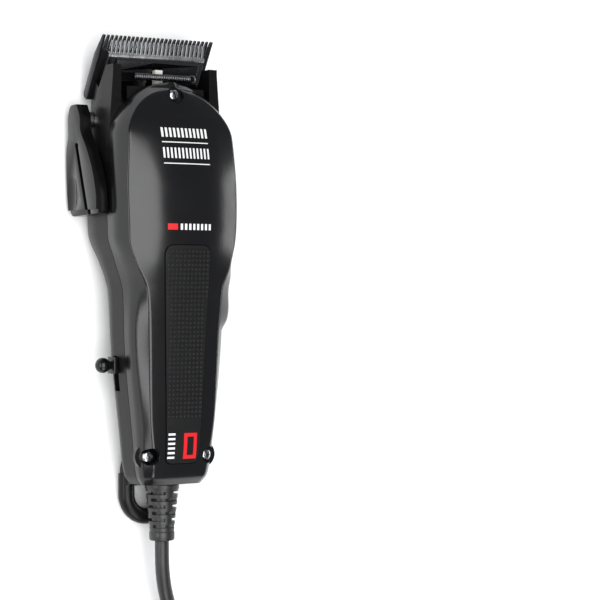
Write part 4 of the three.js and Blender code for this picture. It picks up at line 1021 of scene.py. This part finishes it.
# %% Taper lever
lever_plastic, tree, shader = nodes_of("lever_plastic", "lever_plastic")
shader.inputs["Base Color"].default_value = (0.003, 0.003, 0.0033, 1)
shader.inputs["Specular IOR Level"].default_value = 0.35
tree.links.new(ramp(tree, noise(tree, 400), 0.14, 0.24), shader.inputs["Roughness"])
bump(tree, shader, [noise(tree, 2500, 3)], 0.06, 0.00006)
SHAFT_Y, SHAFT_Z = 132.5, -12.3
paddle = [(5.2, 2.4), (1, 5.1), (-4.5, 5.2), (-10.5, 10), (-19, 15), (-28, 17.8), (-34.6, 17.6), (-35.4, -2),
          (-34, -4), (-20, -5.6), (-10.5, -5.4), (-6.5, -3.8), (1, -4.3), (5, -2.4), (5.2, 2.4)]
paddle = softened(paddle, [1.6, 2.5, 4, 4, 4, 1, 1.4, 1.4, 5, 3, 2.5, 3, 1.6], 5)[:-1]
outline = [(SHAFT_Y + a, SHAFT_Z + b) for a, b in paddle]
lever = store("thumb_lever", *prism(outline, -30, -25.4, "x"), "lever", lever_plastic)
groove = [(SHAFT_Y + a, SHAFT_Z + b) for a, b in [(-9, 1.4), (-9, 3.4), (-36, 12.4), (-36, 10.2)]]
cut(lever, prism(groove, -31, -28.2, "x"))
cut(lever, rod(1.2, -31, -24, (0, SHAFT_Y - 10, SHAFT_Z + 2.8), ALONG_X))
DISH = 9
arc = [(DISH * math.sin(math.pi * k / 24), -DISH * math.cos(math.pi * k / 24)) for k in range(1, 24)]
dish = lathe([(0, -DISH), *arc, (0, DISH)], 48)
dish_place = Matrix.Translation((-31.4, SHAFT_Y - 27.5, SHAFT_Z - 0.5))
cut(lever, moved(dish, dish_place @ Matrix.Diagonal((0.26, 1.0, 0.52, 1))))
cut(lever, block(-31, -29.0, SHAFT_Y - 36, SHAFT_Y - 33.2, SHAFT_Z - 6, SHAFT_Z + 20))
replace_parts(bevelled(lever, 0.4, 3, 50), "taper_lever")
print("lever", len(lever.data.polygons), "faces")

# %% [markdown]
# ## Switch knob, hang loop and power screw
# The slide switch ends in a ball-shaped knob on a square block. The hang loop is a thick round wire of
# plastic bent into a U under the tail, with a wedge at its root. The power screw has a coin slot.

# %% Switch knob, hang loop and power screw
wall_x = -seam_half(43.2)
ball_angles = [math.radians(v) for v in range(-70, 40, 10)]
round_part = [(2.8 * math.cos(a) ** 0.9, 2.6 * math.sin(a)) for a in ball_angles]
ball = [(0, -2.8), *round_part, (1.5, 2.9), (1.4, 5), (0, 5)]
knob = joined(moved(lathe(ball, 40), Matrix.Translation((wall_x - 5.4, 43.2, -2)) @ ALONG_X),
              moved(block(-2, -0.6, -3.1, 3.1, -2.6, 2.6), Matrix.Translation((wall_x, 43.2, -2))),
              block(wall_x - 1.6, -12.9, 40.1, 46.3, -3.6, -0.4))
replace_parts(bevelled(store("switch_ball", *knob, "switch", lever_plastic), 0.3, 3, 50), "switch_knob")

LOOP_BEND, LOOP_MIDDLE, LOOP_Z = 8.2, -4.8, -12
path = [(-LOOP_BEND, 3, LOOP_Z), (-LOOP_BEND, LOOP_MIDDLE, LOOP_Z)]
bend_angles = [math.pi * (1 + k / 16) for k in range(1, 16)]
path += [(LOOP_BEND * math.cos(a), LOOP_MIDDLE + LOOP_BEND * math.sin(a), LOOP_Z) for a in bend_angles]
path += [(LOOP_BEND, LOOP_MIDDLE, LOOP_Z), (LOOP_BEND, 3, LOOP_Z)]
loop = store("tail_loop", *sweep(smooth_line(path, 3), 3, 28), "housing", satin)
roof = [(16, back_z(16) - GAP), (8, back_z(8) - GAP), (4, back_z(4) - GAP), (-1.2, -6.85)]
cut(loop, prism([*roof, (-1.2, LOOP_Z - 2.2), (5, LOOP_Z - 2.2)], -9.7, 9.7, "x"), operation="UNION")
cut(loop, loft([housing_section(y, -GAP) for y in HOUSING_STATIONS]))
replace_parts(loop, "hang_loop")

wall_spot = seam_half(51.5)
reach = wall_spot - 9.2
SCREW_HEAD = [(2, 0.6), (3.2, 0.6), (3.2, 1.5), (3.0, 1.9), (2.6, 2.2), (0, 2.2)]
profile = [(0, 0), (2, 0), *((radius, reach + out) for radius, out in SCREW_HEAD)]
screw_place = Matrix.Translation((9.2, 51.5, -3.25)) @ ALONG_X
power = store("power_screw", *moved(lathe(profile, 48), screw_place), "power_screw", chrome)
cut(power, block(wall_spot + 1.5, wall_spot + 9, 42, 60, -3.7, -2.8))
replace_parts(power, "power_adjust_screw")
print("knob, loop and power screw made")

# %% [markdown]
# ## Inner pieces
# The pieces inside keep their CAD shapes: motor, wires, clamp and screws are seen only when the clipper is
# opened. Each still has its real finish, such as enamelled copper, blued laminations and white nylon.

# %% Finishes of the inner pieces
inner_finishes = {
    "inner_steel": ((0.5, 0.51, 0.52), 1, 0.28), "spring_steel": ((0.6, 0.61, 0.63), 1, 0.24),
    "laminations": ((0.16, 0.17, 0.19), 0.9, 0.45), "copper": ((0.42, 0.13, 0.05), 0.9, 0.34),
    "nylon": ((0.72, 0.7, 0.64), 0, 0.5), "cord_sheath": ((0.012, 0.012, 0.013), 0, 0.42),
    "brown_wire": ((0.14, 0.045, 0.016), 0, 0.42), "blue_wire": ((0.02, 0.09, 0.32), 0, 0.42),
    "chrome_screw": ((0.8, 0.81, 0.82), 1, 0.16),
}
made = {}
for slot_name, (colour, metal, rough) in inner_finishes.items():
    material, tree, shader = nodes_of("inner_" + slot_name, slot_name)
    pattern = noise(tree, 600)
    darker = tuple(c * 0.85 for c in colour)
    tree.links.new(blend_colours(tree, pattern, darker, colour), shader.inputs["Base Color"])
    shader.inputs["Metallic"].default_value = metal
    tree.links.new(ramp(tree, pattern, rough * 0.85, rough * 1.15), shader.inputs["Roughness"])
    made[slot_name] = material
slots = {part["node"]: part["material_slot"] for part in RECORD["subparts"]}
shown = [name for name, node in frame["nodes"].items() if not node.hide_render]
for name in shown:
    node = frame["nodes"][name]
    node.data.materials.clear()
    node.data.materials.append(made[slots[name]])
print(len(shown), "inner pieces keep their CAD shapes:", ", ".join(shown))
